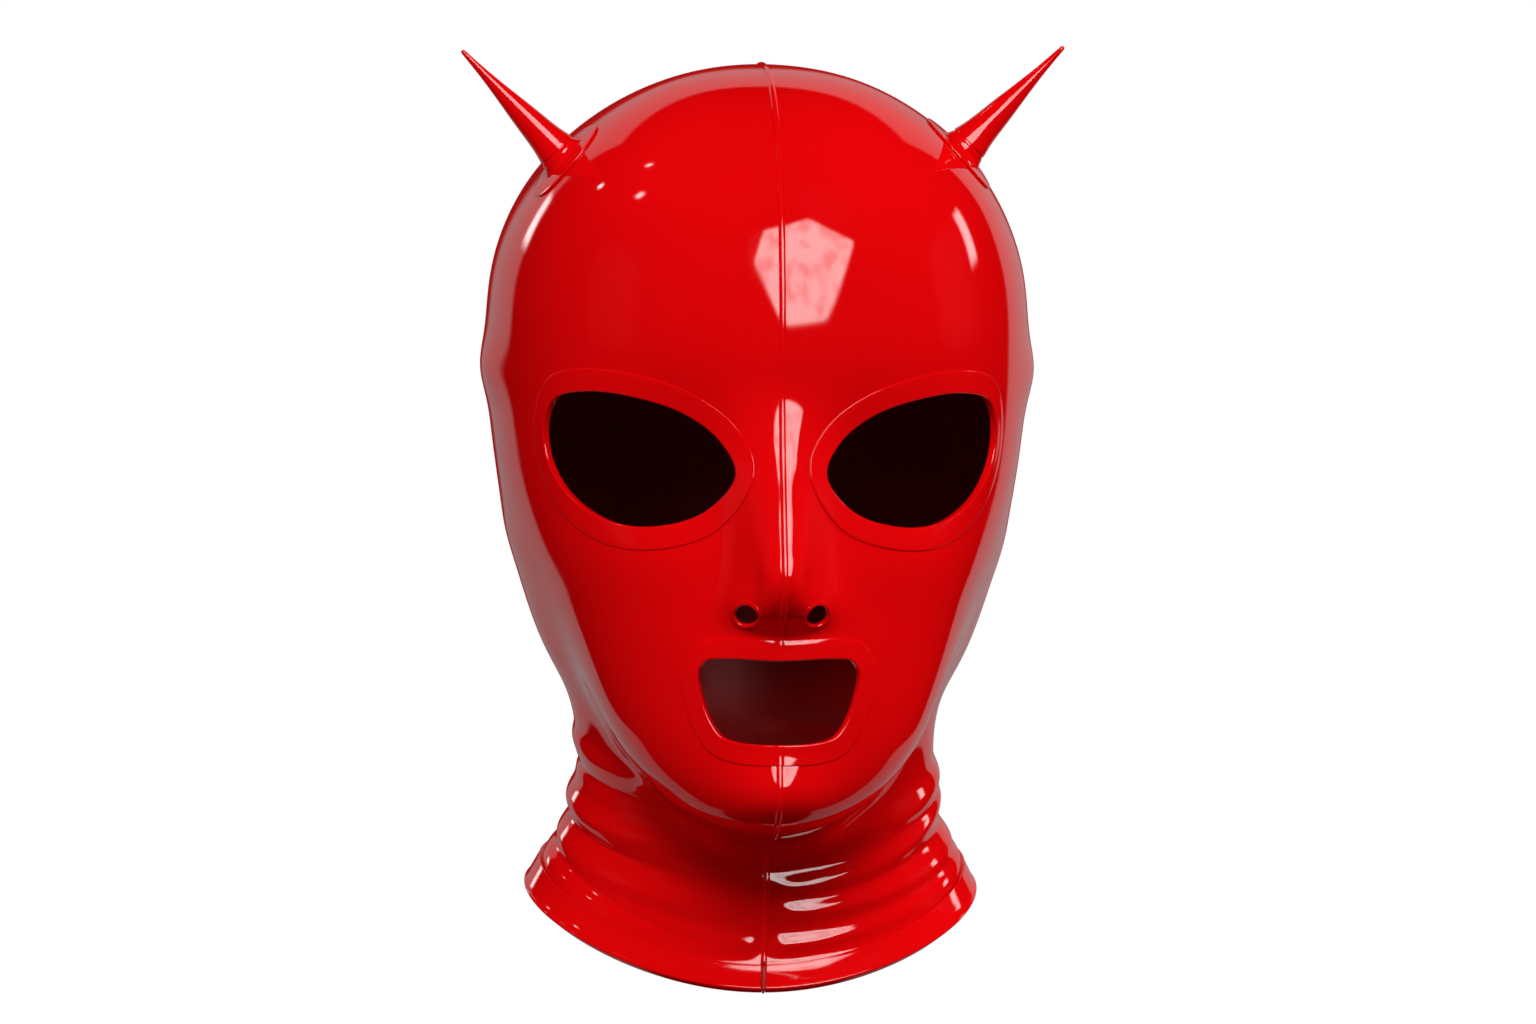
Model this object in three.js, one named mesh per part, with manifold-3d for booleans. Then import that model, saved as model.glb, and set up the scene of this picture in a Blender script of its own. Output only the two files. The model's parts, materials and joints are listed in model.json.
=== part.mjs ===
// Red latex devil hood, in the shape that it takes over a head: two panels joined by a raised seam
// along the middle, flat rims glued round the eye and mouth openings, a hem round the neck edge,
// and two thorn-shaped horns on round patches.
// Millimetres, +Z up, the face towards -Y. The origin is the seat inside the crown.
// Left and right are the wearer's, so left is +X.

import * as THREE from "three";
import { ParametricGeometry } from "three/addons/geometries/ParametricGeometry.js";
import { mergeVertices } from "three/addons/utils/BufferGeometryUtils.js";
import Module from "manifold-3d";

const wasm = await Module();
wasm.setup();

// Latex
const WALL = 1.2;
const BAND = 0.8;
const GLUE_GAP = 0.5;
const SEAM_WIDTH = 1.8;
const SEAM_HEIGHT = 0.6;
const SEAM_GAP = 0.3;
const SEAM_END_GAP = 0.5;

// Openings and trim
const EYE_RIM_WIDTH = 6.3;
const MOUTH_RIM_WIDTH = 5.7;
const NOSTRIL_HALF_WIDTH = 2.95;
const NOSTRIL_HALF_HEIGHT = 2.9;
const NOSTRIL_ACROSS = 9.4;
const NOSTRIL_HEIGHT = -142.7;
const HORN_LEAN = new THREE.Vector3(0.695, 0, 0.719).normalize();
const PATCH_RADIUS = 13;
const HORN_FOOT_RADIUS = 7.3;

// Facets
const PANEL_COLUMNS = 22;
const FRONT_CROWDING = 0.55;
const OUTLINE_STEPS = 30;
const NOSTRIL_STEPS = 12;
const PATCH_SIDES = 16;
const HORN_SIDES = 12;
const WALK_STEPS = 4;
const SHORTEST_FACET = 0.05;
const WELD = 1e-4;

const CUT_REACH = 3 * WALL;
const UP = new THREE.Vector3(0, 0, 1);
const DOWN = new THREE.Vector3(0, 0, -1);
const RED = { color: 0xd40808, roughness: 0.12, metalness: 0 };

// Rows of a table as objects with the named columns
function table(columns, rows) {
  return rows.map((row) => Object.fromEntries(columns.map((column, i) => [column, row[i]])));
}

// The two sides, with the place of each horn on the outer face: set by hand, a little unevenly
const SIDES = table(
  ["name", "side", "hornAngle", "hornLevel"],
  [
    ["left", 1, 1.2, 15.62],
    ["right", -1, -1.16, 15.48],
  ],
);

// Sections of the outer face, from the neck edge up to the crown. Each is a ring that may dip at the
// front: how far its middle stands to the side, its height at the front, side and back, how much
// higher it runs between the front and the side, and its radius in five directions. steps counts the
// facets from this ring up to the next.
const SECTIONS = table(
  [
    "at", "steps", "sway", "frontZ", "sideZ", "backZ", "lift",
    "front", "frontCorner", "side", "backCorner", "back",
  ],
  [
    ["hem edge", 1, -0.7, -252.5, -233.3, -236, 0, 58, 61.3, 63.8, 66, 68],
    ["hem top", 2, -0.4, -246.5, -226.3, -228, 0, 54.2, 57, 59.8, 62, 64],
    ["neck", 3, 0.1, -236.8, -217, -217, 0, 52.6, 53.6, 54.5, 58, 61],
    ["mid neck", 3, 0.4, -227, -205.5, -204, 1.5, 51.8, 51.7, 51.8, 56.5, 61],
    ["throat", 2, 0.3, -219, -194, -191, 5, 51, 50.8, 51, 57, 63],
    ["under chin", 2, 0, -211, -182, -178, 10, 66, 55.5, 52.4, 59.5, 67],
    ["jaw edge", 2, 0, -203.6, -173, -166, 11, 86.5, 62, 55.8, 63.5, 72.5],
    ["chin", 3, 0, -192, -163, -152, 9, 97.5, 67.5, 61, 69, 80.5],
    ["mouth", 2, 0, -166, -143, -132, 3.5, 101, 74.5, 68, 77.5, 89.5],
    ["lip", 2, 0, -151, -131, -119, 1.2, 100.7, 77.7, 71.4, 81.4, 93.1],
    ["nose base", 4, 0, -145, -126, -114, 0.4, 100, 79, 72.2, 83, 94.5],
    ["cheek", 3, 0, -123, -108, -98, 0, 97.5, 82, 74.8, 87, 98],
    ["eyes", 3, 0, -101, -90, -82, 0, 95.5, 83, 76.4, 89, 98.5],
    ["brow", 2, 0, -79, -74, -67, 0, 97, 84, 76.7, 89, 97.5],
    ["forehead", 2, 0, -56, -55, -50, 0, 94, 82, 74.7, 86, 93],
    ["hairline", 2, 0, -34, -35, -33, 0, 85, 75, 66.6, 78, 85],
    ["upper head", 2, 0, -15, -16, -16, 0, 65, 57.5, 50, 58.5, 65],
    ["top", 1, 0, -2.8, -3.4, -4, 0, 38, 33, 27.5, 32, 36],
    ["crown", 0, 0, 1.2, 1.2, 1.2, 0, 0, 0, 0, 0, 0],
  ],
);
const HEIGHTS = ["frontZ", "sideZ", "backZ"];
const RADII = ["front", "frontCorner", "side", "backCorner", "back"];
const CROWN = SECTIONS.length - 1;
const HEM_TOP = 1;

// Folds that gather round the neck on each side: rolls that run round it at these heights and die out
// towards the seams within the angle fade
const FOLDS = table(
  ["at", "side", "frontZ", "sideZ", "backZ", "rise", "spread", "fade"],
  [
    ["left, upper", 1, -212.5, -200.5, -195, 1.6, 3.4, 0.2],
    ["left, middle", 1, -225, -206.5, -204, 1.3, 2.8, 0.15],
    ["left, lower", 1, -232.5, -219, -215, 1.3, 2.8, 0.15],
    ["right, upper", -1, -200, -191, -186, 1.2, 3.2, 0.25],
    ["right, middle", -1, -216, -208, -202, 1.9, 3.6, 0.35],
    ["right, lower", -1, -232, -218, -215, 1.2, 3.4, 0.35],
  ],
);

// Ridge of the nose, from the brow down to the upper lip
const NOSE = table(
  ["at", "height", "rise", "halfWidth"],
  [
    ["brow", -79, 0, 16],
    ["root", -95, 4.5, 14],
    ["bridge", -113, 12, 12],
    ["ridge", -124, 15.4, 11],
    ["tip", -131.5, 17.2, 11],
    ["under tip", -138, 14.8, 11.5],
    ["underside", -143, 9, 12],
    ["lip", -149.6, 0, 11],
  ],
);
const NOSE_STEEPNESS = 2.5;

// Soft swellings and hollows of the face, as seen from the front
const RELIEF = table(
  ["at", "across", "height", "halfWidth", "halfHeight", "rise"],
  [
    ["eye socket", 34, -104, 22, 17, -5],
    ["cheekbone", 44, -128, 18, 14, 3],
    ["chin", 0, -194, 16, 11, 7.5],
  ],
);

// Soft bump where the latex passes over the top of each ear
const EAR = { angle: 1.6, angleSpread: 0.3, height: -85, spread: 9, rise: 2 };

// Eye opening, as seen from the front on the wearer's left
const EYE = table(
  ["across", "height"],
  [
    [11.9, -106],
    [16, -97.4],
    [25.5, -90.4],
    [38, -86.7],
    [50, -85.9],
    [58.6, -88.6],
    [61.5, -95.5],
    [60.4, -106.5],
    [54.5, -115.3],
    [44, -120.6],
    [32, -120.8],
    [19.5, -116.2],
  ],
);

// Mouth opening, half of it, from the middle of the top edge round to the middle of the bottom edge
const MOUTH_HALF = table(
  ["across", "height"],
  [
    [0, -155.4],
    [14.5, -155.1],
    [19.3, -155.9],
    [21.4, -159.3],
    [20.6, -165.3],
    [18, -172.3],
    [15.2, -176],
    [11.5, -177.3],
    [0, -177.9],
  ],
);

// Horn, along its axis from the face to its tip
const HORN = table(
  ["along", "radius"],
  [
    [3.3, 5.65],
    [5, 5.2],
    [7.6, 4.65],
    [11, 4.15],
    [15, 3.65],
    [21, 2.8],
    [32, 1.35],
    [40.1, 0.6],
  ],
);
const HORN_LENGTH = 40.9;

// Smooth curve through values at rising knots: a cubic spline whose ends are straight, or have the
// slopes given
function spline(knots, values, startSlope = null, endSlope = null) {
  const last = knots.length - 1;
  const span = (i) => knots[i + 1] - knots[i];
  const rise = (i) => (values[i + 1] - values[i]) / span(i);
  const upper = new Array(last + 1).fill(0);
  const right = new Array(last + 1).fill(0);
  if (startSlope !== null) {
    upper[0] = 0.5;
    right[0] = (3 * (rise(0) - startSlope)) / span(0);
  }
  for (let i = 1; i < last; i++) {
    const pivot = 2 * (span(i - 1) + span(i)) - span(i - 1) * upper[i - 1];
    upper[i] = span(i) / pivot;
    right[i] = (6 * (rise(i) - rise(i - 1)) - span(i - 1) * right[i - 1]) / pivot;
  }
  const bend = new Array(last + 1).fill(0);
  if (endSlope !== null) {
    const target = (6 * (endSlope - rise(last - 1))) / span(last - 1);
    bend[last] = (target - right[last - 1]) / (2 - upper[last - 1]);
  }
  for (let i = last - 1; i >= 0; i--) {
    bend[i] = right[i] - upper[i] * bend[i + 1];
  }
  return (x) => {
    let i = 0;
    while (i < last - 1 && x > knots[i + 1]) {
      i++;
    }
    const b = (x - knots[i]) / span(i);
    const a = 1 - b;
    const curved = ((a ** 3 - a) * bend[i] + (b ** 3 - b) * bend[i + 1]) * span(i) ** 2;
    return a * values[i] + b * values[i + 1] + curved / 6;
  };
}

// Value at an angle round the axis, from values at even steps from the front to the back
function around(values, angle) {
  const last = values.length - 1;
  const half = (i) => (i === 0 || i === last ? 0.5 : 1);
  let sum = 0;
  for (let wave = 0; wave <= last; wave++) {
    let share = 0;
    for (let i = 0; i <= last; i++) {
      share += half(i) * values[i] * Math.cos((wave * i * Math.PI) / last);
    }
    sum += (2 / last) * half(wave) * share * Math.cos(wave * angle);
  }
  return sum;
}

const bell = (x) => Math.exp(-x * x);

// Distance up the hood of each section, measured as the mean of the front, side and back
function sectionDistances() {
  const distances = [0];
  for (let i = 1; i <= CROWN; i++) {
    const low = SECTIONS[i - 1];
    const high = SECTIONS[i];
    const ways = [["front", "frontZ"], ["side", "sideZ"], ["back", "backZ"]];
    const steps = ways.map(([out, up]) => Math.hypot(high[out] - low[out], high[up] - low[up]));
    distances.push(distances[i - 1] + (steps[0] + steps[1] + steps[2]) / 3);
  }
  return distances;
}

const DISTANCES = sectionDistances();
const columnOf = (name) => SECTIONS.map((section) => section[name]);
const heightCurves = HEIGHTS.map((name) => spline(DISTANCES, columnOf(name), null, 0));
const swayCurve = spline(DISTANCES, columnOf("sway"));
const liftCurve = spline(DISTANCES, columnOf("lift"));
const radiusCurves = RADII.map((name) => spline(DISTANCES, columnOf(name)));

const noseUp = [...NOSE].reverse();
const noseHeights = noseUp.map((row) => row.height);
const noseRise = spline(noseHeights, noseUp.map((row) => row.rise), 0, 0);
const noseHalfWidth = spline(noseHeights, noseUp.map((row) => row.halfWidth));

// How far the nose stands out at a point of the face: a rounded ridge with steep sides
function nosePush(across, height) {
  if (height < noseHeights[0] || height > noseHeights.at(-1)) {
    return 0;
  }
  const aside = Math.abs(across) / noseHalfWidth(height);
  return noseRise(height) * Math.exp(-(aside ** NOSE_STEEPNESS));
}

function reliefPush(across, height) {
  let push = 0;
  for (const form of RELIEF) {
    const rise = form.rise * bell((height - form.height) / form.halfHeight);
    const middles = form.across === 0 ? [0] : [-form.across, form.across];
    for (const middle of middles) {
      push += rise * bell((across - middle) / form.halfWidth);
    }
  }
  return push;
}

function foldPush(angle, height) {
  const turn = Math.abs(angle);
  let push = 0;
  for (const fold of FOLDS) {
    if (fold.side * angle > 0) {
      const middle = around(HEIGHTS.map((name) => fold[name]), angle);
      const fade = (1 - bell(turn / fold.fade)) * (1 - bell((Math.PI - turn) / fold.fade));
      push += fade * fold.rise * bell((height - middle) / fold.spread);
    }
  }
  return push;
}

function earPush(angle, height) {
  const rise = EAR.rise * bell((height - EAR.height) / EAR.spread);
  return rise * bell((Math.abs(angle) - EAR.angle) / EAR.angleSpread);
}

function distanceUp(level) {
  const below = Math.min(Math.max(Math.floor(level), 0), CROWN - 1);
  return DISTANCES[below] + (level - below) * (DISTANCES[below + 1] - DISTANCES[below]);
}

// How far the middle of the hood stands to the side at a level
const swayAt = (level) => swayCurve(distanceUp(level));

// Point of the outer face. angle turns from the front towards the wearer's left, and level counts
// sections up from the neck edge.
function facePoint(angle, level) {
  const distance = distanceUp(level);
  const corner = Math.abs(angle) < Math.PI / 2 ? Math.sin(2 * angle) ** 2 : 0;
  const height = around(heightCurves.map((curve) => curve(distance)), angle) + liftCurve(distance) * corner;
  let radius = around(radiusCurves.map((curve) => curve(distance)), angle);
  radius += foldPush(angle, height) + earPush(angle, height);
  const across = radius * Math.sin(angle);
  const front = Math.max(0, Math.cos(angle)) ** 2;
  const push = (nosePush(across, height) + reliefPush(across, height)) * front;
  return new THREE.Vector3(across + swayCurve(distance), -radius * Math.cos(angle) - push, height);
}

// Small step for slopes, and a search for a place: where it starts, its rounds and its longest steps
const STEP = 1e-3;
const SEARCH = { depth: 90, level: 10, rounds: 30, turn: 0.2, climb: 1 };

// The two directions along the face at a place, as rates of its angle and level
function faceRates(place) {
  const { angle, level } = place;
  const turn = facePoint(angle + STEP, level).sub(facePoint(angle - STEP, level));
  const low = Math.max(level - STEP, 0);
  const high = Math.min(level + STEP, CROWN);
  const climb = facePoint(angle, high).sub(facePoint(angle, low));
  return { turn: turn.divideScalar(2 * STEP), climb: climb.divideScalar(high - low) };
}

function faceNormal(place) {
  if (place.level > CROWN - STEP) {
    return new THREE.Vector3(0, 0, 1);
  }
  const { turn, climb } = faceRates(place);
  return turn.cross(climb).normalize();
}

function offsetPoint(place, offset) {
  return facePoint(place.angle, place.level).addScaledVector(faceNormal(place), offset);
}

// Place on the front of the face with the given distance across and height
function placeSeenFromFront(across, height) {
  const { clamp } = THREE.MathUtils;
  const place = { angle: Math.atan2(across, SEARCH.depth), level: SEARCH.level };
  for (let round = 0; round < SEARCH.rounds; round++) {
    const point = facePoint(place.angle, place.level);
    const { turn, climb } = faceRates(place);
    const missX = across - point.x;
    const missZ = height - point.z;
    const area = turn.x * climb.z - turn.z * climb.x;
    const turnBy = (missX * climb.z - missZ * climb.x) / area;
    const climbBy = (missZ * turn.x - missX * turn.z) / area;
    place.angle += clamp(turnBy, -SEARCH.turn, SEARCH.turn);
    place.level += clamp(climbBy, -SEARCH.climb, SEARCH.climb);
    place.level = clamp(place.level, 0, CROWN - STEP);
  }
  return place;
}

// Place reached by walking along the face in a direction
function walk(start, direction, distance) {
  let place = start;
  for (let i = 0; i < WALK_STEPS; i++) {
    const { turn, climb } = faceRates(place);
    const turnTurn = turn.dot(turn);
    const turnClimb = turn.dot(climb);
    const climbClimb = climb.dot(climb);
    const area = turnTurn * climbClimb - turnClimb * turnClimb;
    const alongTurn = turn.dot(direction);
    const alongClimb = climb.dot(direction);
    const turnBy = (alongTurn * climbClimb - alongClimb * turnClimb) / area;
    const climbBy = (alongClimb * turnTurn - alongTurn * turnClimb) / area;
    const length = turn.multiplyScalar(turnBy).addScaledVector(climb, climbBy).length();
    const share = distance / WALK_STEPS / length;
    place = { angle: place.angle + turnBy * share, level: place.level + climbBy * share };
  }
  return place;
}

// Closed solid from a grid of points: its columns join up, and its first and last rows are single
// points, or are the same row
function gridSolid(columns, rows, pointAt) {
  const geometry = new ParametricGeometry(
    (u, v, target) => target.copy(pointAt(Math.round(u * columns) % columns, Math.round(v * rows))),
    columns,
    rows,
  );
  return solidFrom(geometry);
}

// Solid from a geometry, its doubled corners welded and its empty facets dropped
function solidFrom(geometry) {
  const bare = new THREE.BufferGeometry();
  bare.setAttribute("position", geometry.getAttribute("position"));
  bare.setIndex(geometry.getIndex());
  const merged = mergeVertices(bare, WELD);
  const index = merged.getIndex().array;
  const corners = [];
  for (let i = 0; i < index.length; i += 3) {
    const [a, b, c] = [index[i], index[i + 1], index[i + 2]];
    if (a !== b && b !== c && c !== a) {
      corners.push(a, b, c);
    }
  }
  return solidOf(merged.getAttribute("position").array, corners);
}

function solidOf(vertProperties, corners) {
  const build = (triVerts) => new wasm.Manifold(new wasm.Mesh({ numProp: 3, vertProperties, triVerts }));
  const solid = build(Uint32Array.from(corners));
  return solid.volume() > 0 ? solid : build(Uint32Array.from(corners).reverse());
}

// Closed solid along stations: a loop of corners at each, and a middle for the two ends
function alongSolid(stations, corners, cornerAt, middleAt) {
  const last = stations.length + 1;
  return gridSolid(corners, last, (column, row) => {
    if (row === 0) {
      return middleAt(stations[0]);
    }
    return row === last ? middleAt(stations.at(-1)) : cornerAt(stations[row - 1], column);
  });
}

function meshOf(name, solid) {
  const { vertProperties, triVerts } = solid.getMesh();
  const geometry = new THREE.BufferGeometry();
  geometry.setAttribute("position", new THREE.BufferAttribute(vertProperties, 3));
  geometry.setIndex(new THREE.BufferAttribute(triVerts, 1));
  geometry.computeVertexNormals();
  const mesh = new THREE.Mesh(geometry, new THREE.MeshStandardMaterial(RED));
  mesh.name = name;
  return mesh;
}

// Angles of the facets' edges from the front to the back, crowded towards the face
function columnAngle(column) {
  const even = (Math.PI * column) / PANEL_COLUMNS;
  return even - FRONT_CROWDING * Math.sin(even);
}

// Point off the face, moved sideways where it has to be to leave room for the seam
function besideSeam(place, offset, side) {
  const point = offsetPoint(place, offset);
  const middle = swayAt(place.level);
  const away = Math.max(side * (point.x - middle), SEAM_WIDTH / 2 + SEAM_GAP);
  return point.setX(middle + side * away);
}

// Levels of the facets' edges from the neck edge up to the crown
function facetLevels() {
  const levels = [];
  SECTIONS.forEach((section, i) => {
    for (let step = 0; step < section.steps; step++) {
      levels.push(i + step / section.steps);
    }
  });
  levels.push(CROWN);
  return levels;
}

// One panel of the wall: its outer face from the front seam round to the back seam, then its inner
// face back again, from the neck edge up to the crown
function panel(side) {
  const levels = facetLevels();
  const edges = PANEL_COLUMNS + 1;
  const corner = (column, level, share) => {
    const outside = column < edges;
    const angle = side * columnAngle(outside ? column : 2 * edges - 1 - column);
    return besideSeam({ angle, level }, outside ? -share * WALL : (share - 1) * WALL, side);
  };
  return gridSolid(2 * edges, levels.length, (column, row) => {
    return row === 0 ? corner(column, levels[0], 0.5) : corner(column, levels[row - 1], 0);
  });
}

// Places round an outline that is drawn as seen from the front
function outlinePlaces(knots) {
  const points = knots.map((knot) => new THREE.Vector3(knot.across, knot.height, 0));
  const curve = new THREE.CatmullRomCurve3(points, true, "centripetal");
  const spaced = curve.getSpacedPoints(OUTLINE_STEPS).slice(0, OUTLINE_STEPS);
  return spaced.map((point) => placeSeenFromFront(point.x, point.y));
}

// Places round a nostril, which is an ellipse as seen from the front
function nostrilPlaces(across) {
  const places = [];
  for (let i = 0; i < NOSTRIL_STEPS; i++) {
    const turn = (2 * Math.PI * i) / NOSTRIL_STEPS;
    const x = across + NOSTRIL_HALF_WIDTH * Math.sin(turn);
    places.push(placeSeenFromFront(x, NOSTRIL_HEIGHT + NOSTRIL_HALF_HEIGHT * Math.cos(turn)));
  }
  return places;
}

// The same outline on the other side
function mirrored(knots) {
  return knots.map(({ across, height }) => ({ across: -across, height })).reverse();
}

// Places on a circle round a centre, measured along the face
function circlePlaces(centre, radius, steps) {
  const normal = faceNormal(centre);
  const up = faceRates(centre).climb.normalize();
  const side = up.clone().cross(normal);
  const places = [];
  for (let i = 0; i < steps; i++) {
    const turn = (2 * Math.PI * i) / steps;
    const direction = up.clone().multiplyScalar(Math.cos(turn)).addScaledVector(side, Math.sin(turn));
    places.push(walk(centre, direction, radius));
  }
  return places;
}

// Plug that cuts an opening square through the wall along its outline
function plug(places) {
  const loopAt = (offset) => places.map((place) => offsetPoint(place, offset));
  const loops = [loopAt(-CUT_REACH), loopAt(CUT_REACH)];
  const centres = loops.map((loop) => {
    const sum = loop.reduce((total, point) => total.add(point), new THREE.Vector3());
    return sum.divideScalar(loop.length);
  });
  return gridSolid(places.length, 3, (column, row) => {
    return [centres[0], loops[0][column], loops[1][column], centres[1]][row];
  });
}

// Places beside an outline, a distance away from the opening along the face
function besideOutline(places, distance) {
  const count = places.length;
  return places.map((place, i) => {
    const before = places[(i + count - 1) % count];
    const after = places[(i + 1) % count];
    const along = facePoint(after.angle, after.level).sub(facePoint(before.angle, before.level));
    const outward = faceNormal(place).cross(along).normalize();
    return walk(place, outward, distance);
  });
}

// Flat band glued on the face round an opening
function rim(places, width) {
  const low = GLUE_GAP;
  const high = GLUE_GAP + BAND;
  const outer = besideOutline(places, width);
  const section = [
    [places, low],
    [places, high],
    [outer, high],
    [outer, low],
    [places, low],
  ];
  return gridSolid(places.length, section.length - 1, (column, row) => {
    const [line, offset] = section[row];
    return offsetPoint(line[column], offset);
  });
}

// Round patch under a horn
function patch(centre) {
  const low = GLUE_GAP;
  const high = GLUE_GAP + BAND;
  const inner = circlePlaces(centre, PATCH_RADIUS / 2, PATCH_SIDES);
  const outer = circlePlaces(centre, PATCH_RADIUS, PATCH_SIDES);
  const middle = inner.map(() => centre);
  const section = [
    [middle, low],
    [inner, low],
    [outer, low],
    [outer, high],
    [inner, high],
    [middle, high],
  ];
  return gridSolid(PATCH_SIDES, section.length - 1, (column, row) => {
    const [line, offset] = section[row];
    return offsetPoint(line[column], offset);
  });
}

// Thorn whose foot follows the patch under it
function horn(centre, lean) {
  const footOffset = GLUE_GAP + BAND + SEAM_GAP;
  const footPlaces = circlePlaces(centre, HORN_FOOT_RADIUS, HORN_SIDES);
  const root = facePoint(centre.angle, centre.level);
  const up = faceRates(centre).climb.projectOnPlane(lean).normalize();
  const side = up.clone().cross(lean);
  const onAxis = (along) => root.clone().addScaledVector(lean, along);
  const ring = ({ along, radius }, column) => {
    const turn = (2 * Math.PI * column) / HORN_SIDES;
    const point = onAxis(along).addScaledVector(up, radius * Math.cos(turn));
    return point.addScaledVector(side, radius * Math.sin(turn));
  };
  const last = HORN.length + 2;
  return gridSolid(HORN_SIDES, last, (column, row) => {
    if (row === 0) {
      return offsetPoint(centre, footOffset);
    }
    if (row === 1) {
      return offsetPoint(footPlaces[column], footOffset);
    }
    return row === last ? onAxis(HORN_LENGTH) : ring(HORN[row - 2], column);
  });
}

// Bead of latex between the panels, along levels at the front or the back of the middle line. It
// fills the wall and stands above it, and above the hem where it crosses that.
function seamBead(stations) {
  const half = SEAM_WIDTH / 2;
  const section = (raise) => [
    [-half, -WALL],
    [half, -WALL],
    [half, raise],
    [0, raise + SEAM_HEIGHT],
    [-half, raise],
  ];
  const pointAt = (place, across, offset) => offsetPoint(place, offset).setX(swayAt(place.level) + across);
  const cornerAt = (place, column) => {
    const [across, offset] = section(place.level <= HEM_TOP ? GLUE_GAP + BAND : 0)[column];
    return pointAt(place, across, offset);
  };
  const middleAt = (place) => pointAt(place, 0, -WALL / 2);
  return alongSolid(stations, section(0).length, cornerAt, middleAt);
}

// Half of the hem, from the front seam round to the back seam
function hemHalf(side) {
  const low = GLUE_GAP;
  const high = GLUE_GAP + BAND;
  const section = [
    [0, low],
    [0, high],
    [HEM_TOP, high],
    [HEM_TOP, low],
  ];
  const angles = [];
  for (let column = 0; column <= PANEL_COLUMNS; column++) {
    angles.push(side * columnAngle(column));
  }
  const cornerAt = (angle, column) => {
    const [level, offset] = section[column];
    return besideSeam({ angle, level }, offset, side);
  };
  const middleAt = (angle) => besideSeam({ angle, level: HEM_TOP / 2 }, (low + high) / 2, side);
  return alongSolid(angles, section.length, cornerAt, middleAt);
}

const hood = new THREE.Group();

// Outlines of the openings
const eyes = { left: outlinePlaces(EYE), right: outlinePlaces(mirrored(EYE)) };
const mouth = outlinePlaces([...MOUTH_HALF, ...mirrored(MOUTH_HALF.slice(1, -1))]);
const nostrils = SIDES.map(({ side }) => nostrilPlaces(side * NOSTRIL_ACROSS));

// Panels with their openings, and the pieces that come in pairs
const plugs = [eyes.left, eyes.right, mouth, ...nostrils].map(plug);
for (const { name, side, hornAngle, hornLevel } of SIDES) {
  const wall = plugs.reduce((solid, opening) => solid.subtract(opening), panel(side));
  const hornCentre = { angle: hornAngle, level: hornLevel };
  const hornLean = HORN_LEAN.clone().setX(side * HORN_LEAN.x);
  hood.add(meshOf(`hood_${name}`, wall));
  hood.add(meshOf(`eye_rim_${name}`, rim(eyes[name], EYE_RIM_WIDTH)));
  hood.add(meshOf(`hem_${name}`, hemHalf(side)));
  hood.add(meshOf(`horn_patch_${name}`, patch(hornCentre)));
  hood.add(meshOf(`horn_${name}`, horn(hornCentre, hornLean)));
}

hood.add(meshOf("mouth_rim", rim(mouth, MOUTH_RIM_WIDTH)));

// Seam from the mouth over the crown to the back of the neck, and from the mouth down the chin
const levels = facetLevels();
const atFront = (level) => ({ angle: 0, level });
const atBack = (level) => ({ angle: Math.PI, level });
const lip = placeSeenFromFront(0, MOUTH_HALF[0].height);
const underLip = placeSeenFromFront(0, MOUTH_HALF.at(-1).height);
const rimTop = walk(lip, UP, MOUTH_RIM_WIDTH + SEAM_END_GAP).level;
const rimFoot = walk(underLip, DOWN, MOUTH_RIM_WIDTH + SEAM_END_GAP).level;
const upFront = [rimTop, ...levels.filter((level) => level > rimTop + SHORTEST_FACET)];
const downBack = levels.slice(0, -1).reverse();
const upChin = [...levels.filter((level) => level < rimFoot - SHORTEST_FACET), rimFoot];
hood.add(meshOf("seam_crown", seamBead([...upFront.map(atFront), ...downBack.map(atBack)])));
hood.add(meshOf("seam_chin", seamBead(upChin.map(atFront))));

export default hood;
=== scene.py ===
"""Looks of a red latex devil hood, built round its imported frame.

The hood's outer face is one smooth function of an angle round it and a level up it. Every piece
lies on that face: grids and rings are bent to it, and walls and bands get their thickness along its
normals. Tables hold millimetres and radians, as the hood was drawn, and the face is in metres.
Left and right are the wearer's, so left is +X. The face looks towards -Y.
"""

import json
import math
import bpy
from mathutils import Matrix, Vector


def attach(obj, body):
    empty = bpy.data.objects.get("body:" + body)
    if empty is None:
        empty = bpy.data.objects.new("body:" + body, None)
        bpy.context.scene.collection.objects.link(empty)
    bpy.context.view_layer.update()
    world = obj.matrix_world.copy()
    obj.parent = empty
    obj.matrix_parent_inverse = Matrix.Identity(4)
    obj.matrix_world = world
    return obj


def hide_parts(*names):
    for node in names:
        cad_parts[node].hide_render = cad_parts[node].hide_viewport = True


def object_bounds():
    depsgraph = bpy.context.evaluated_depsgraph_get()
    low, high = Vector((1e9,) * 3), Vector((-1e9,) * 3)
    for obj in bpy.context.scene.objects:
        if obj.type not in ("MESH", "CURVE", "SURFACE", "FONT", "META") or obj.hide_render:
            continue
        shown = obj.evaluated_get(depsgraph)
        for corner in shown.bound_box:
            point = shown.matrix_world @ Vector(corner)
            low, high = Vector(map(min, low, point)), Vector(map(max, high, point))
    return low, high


bl_info = {
    "name": "Latex devil hood",
    "version": (1, 0, 0),
    "blender": (4, 5, 0),
    "location": "View3D > Sidebar > Hood",
    "description": "Builds the panels, seams, rims, hem and horns of a latex hood, and its stage",
    "category": "Object",
}

import bmesh
import bpy
import numpy as np
from bpy.props import FloatProperty, FloatVectorProperty, PointerProperty
from mathutils import Matrix, Vector

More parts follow.
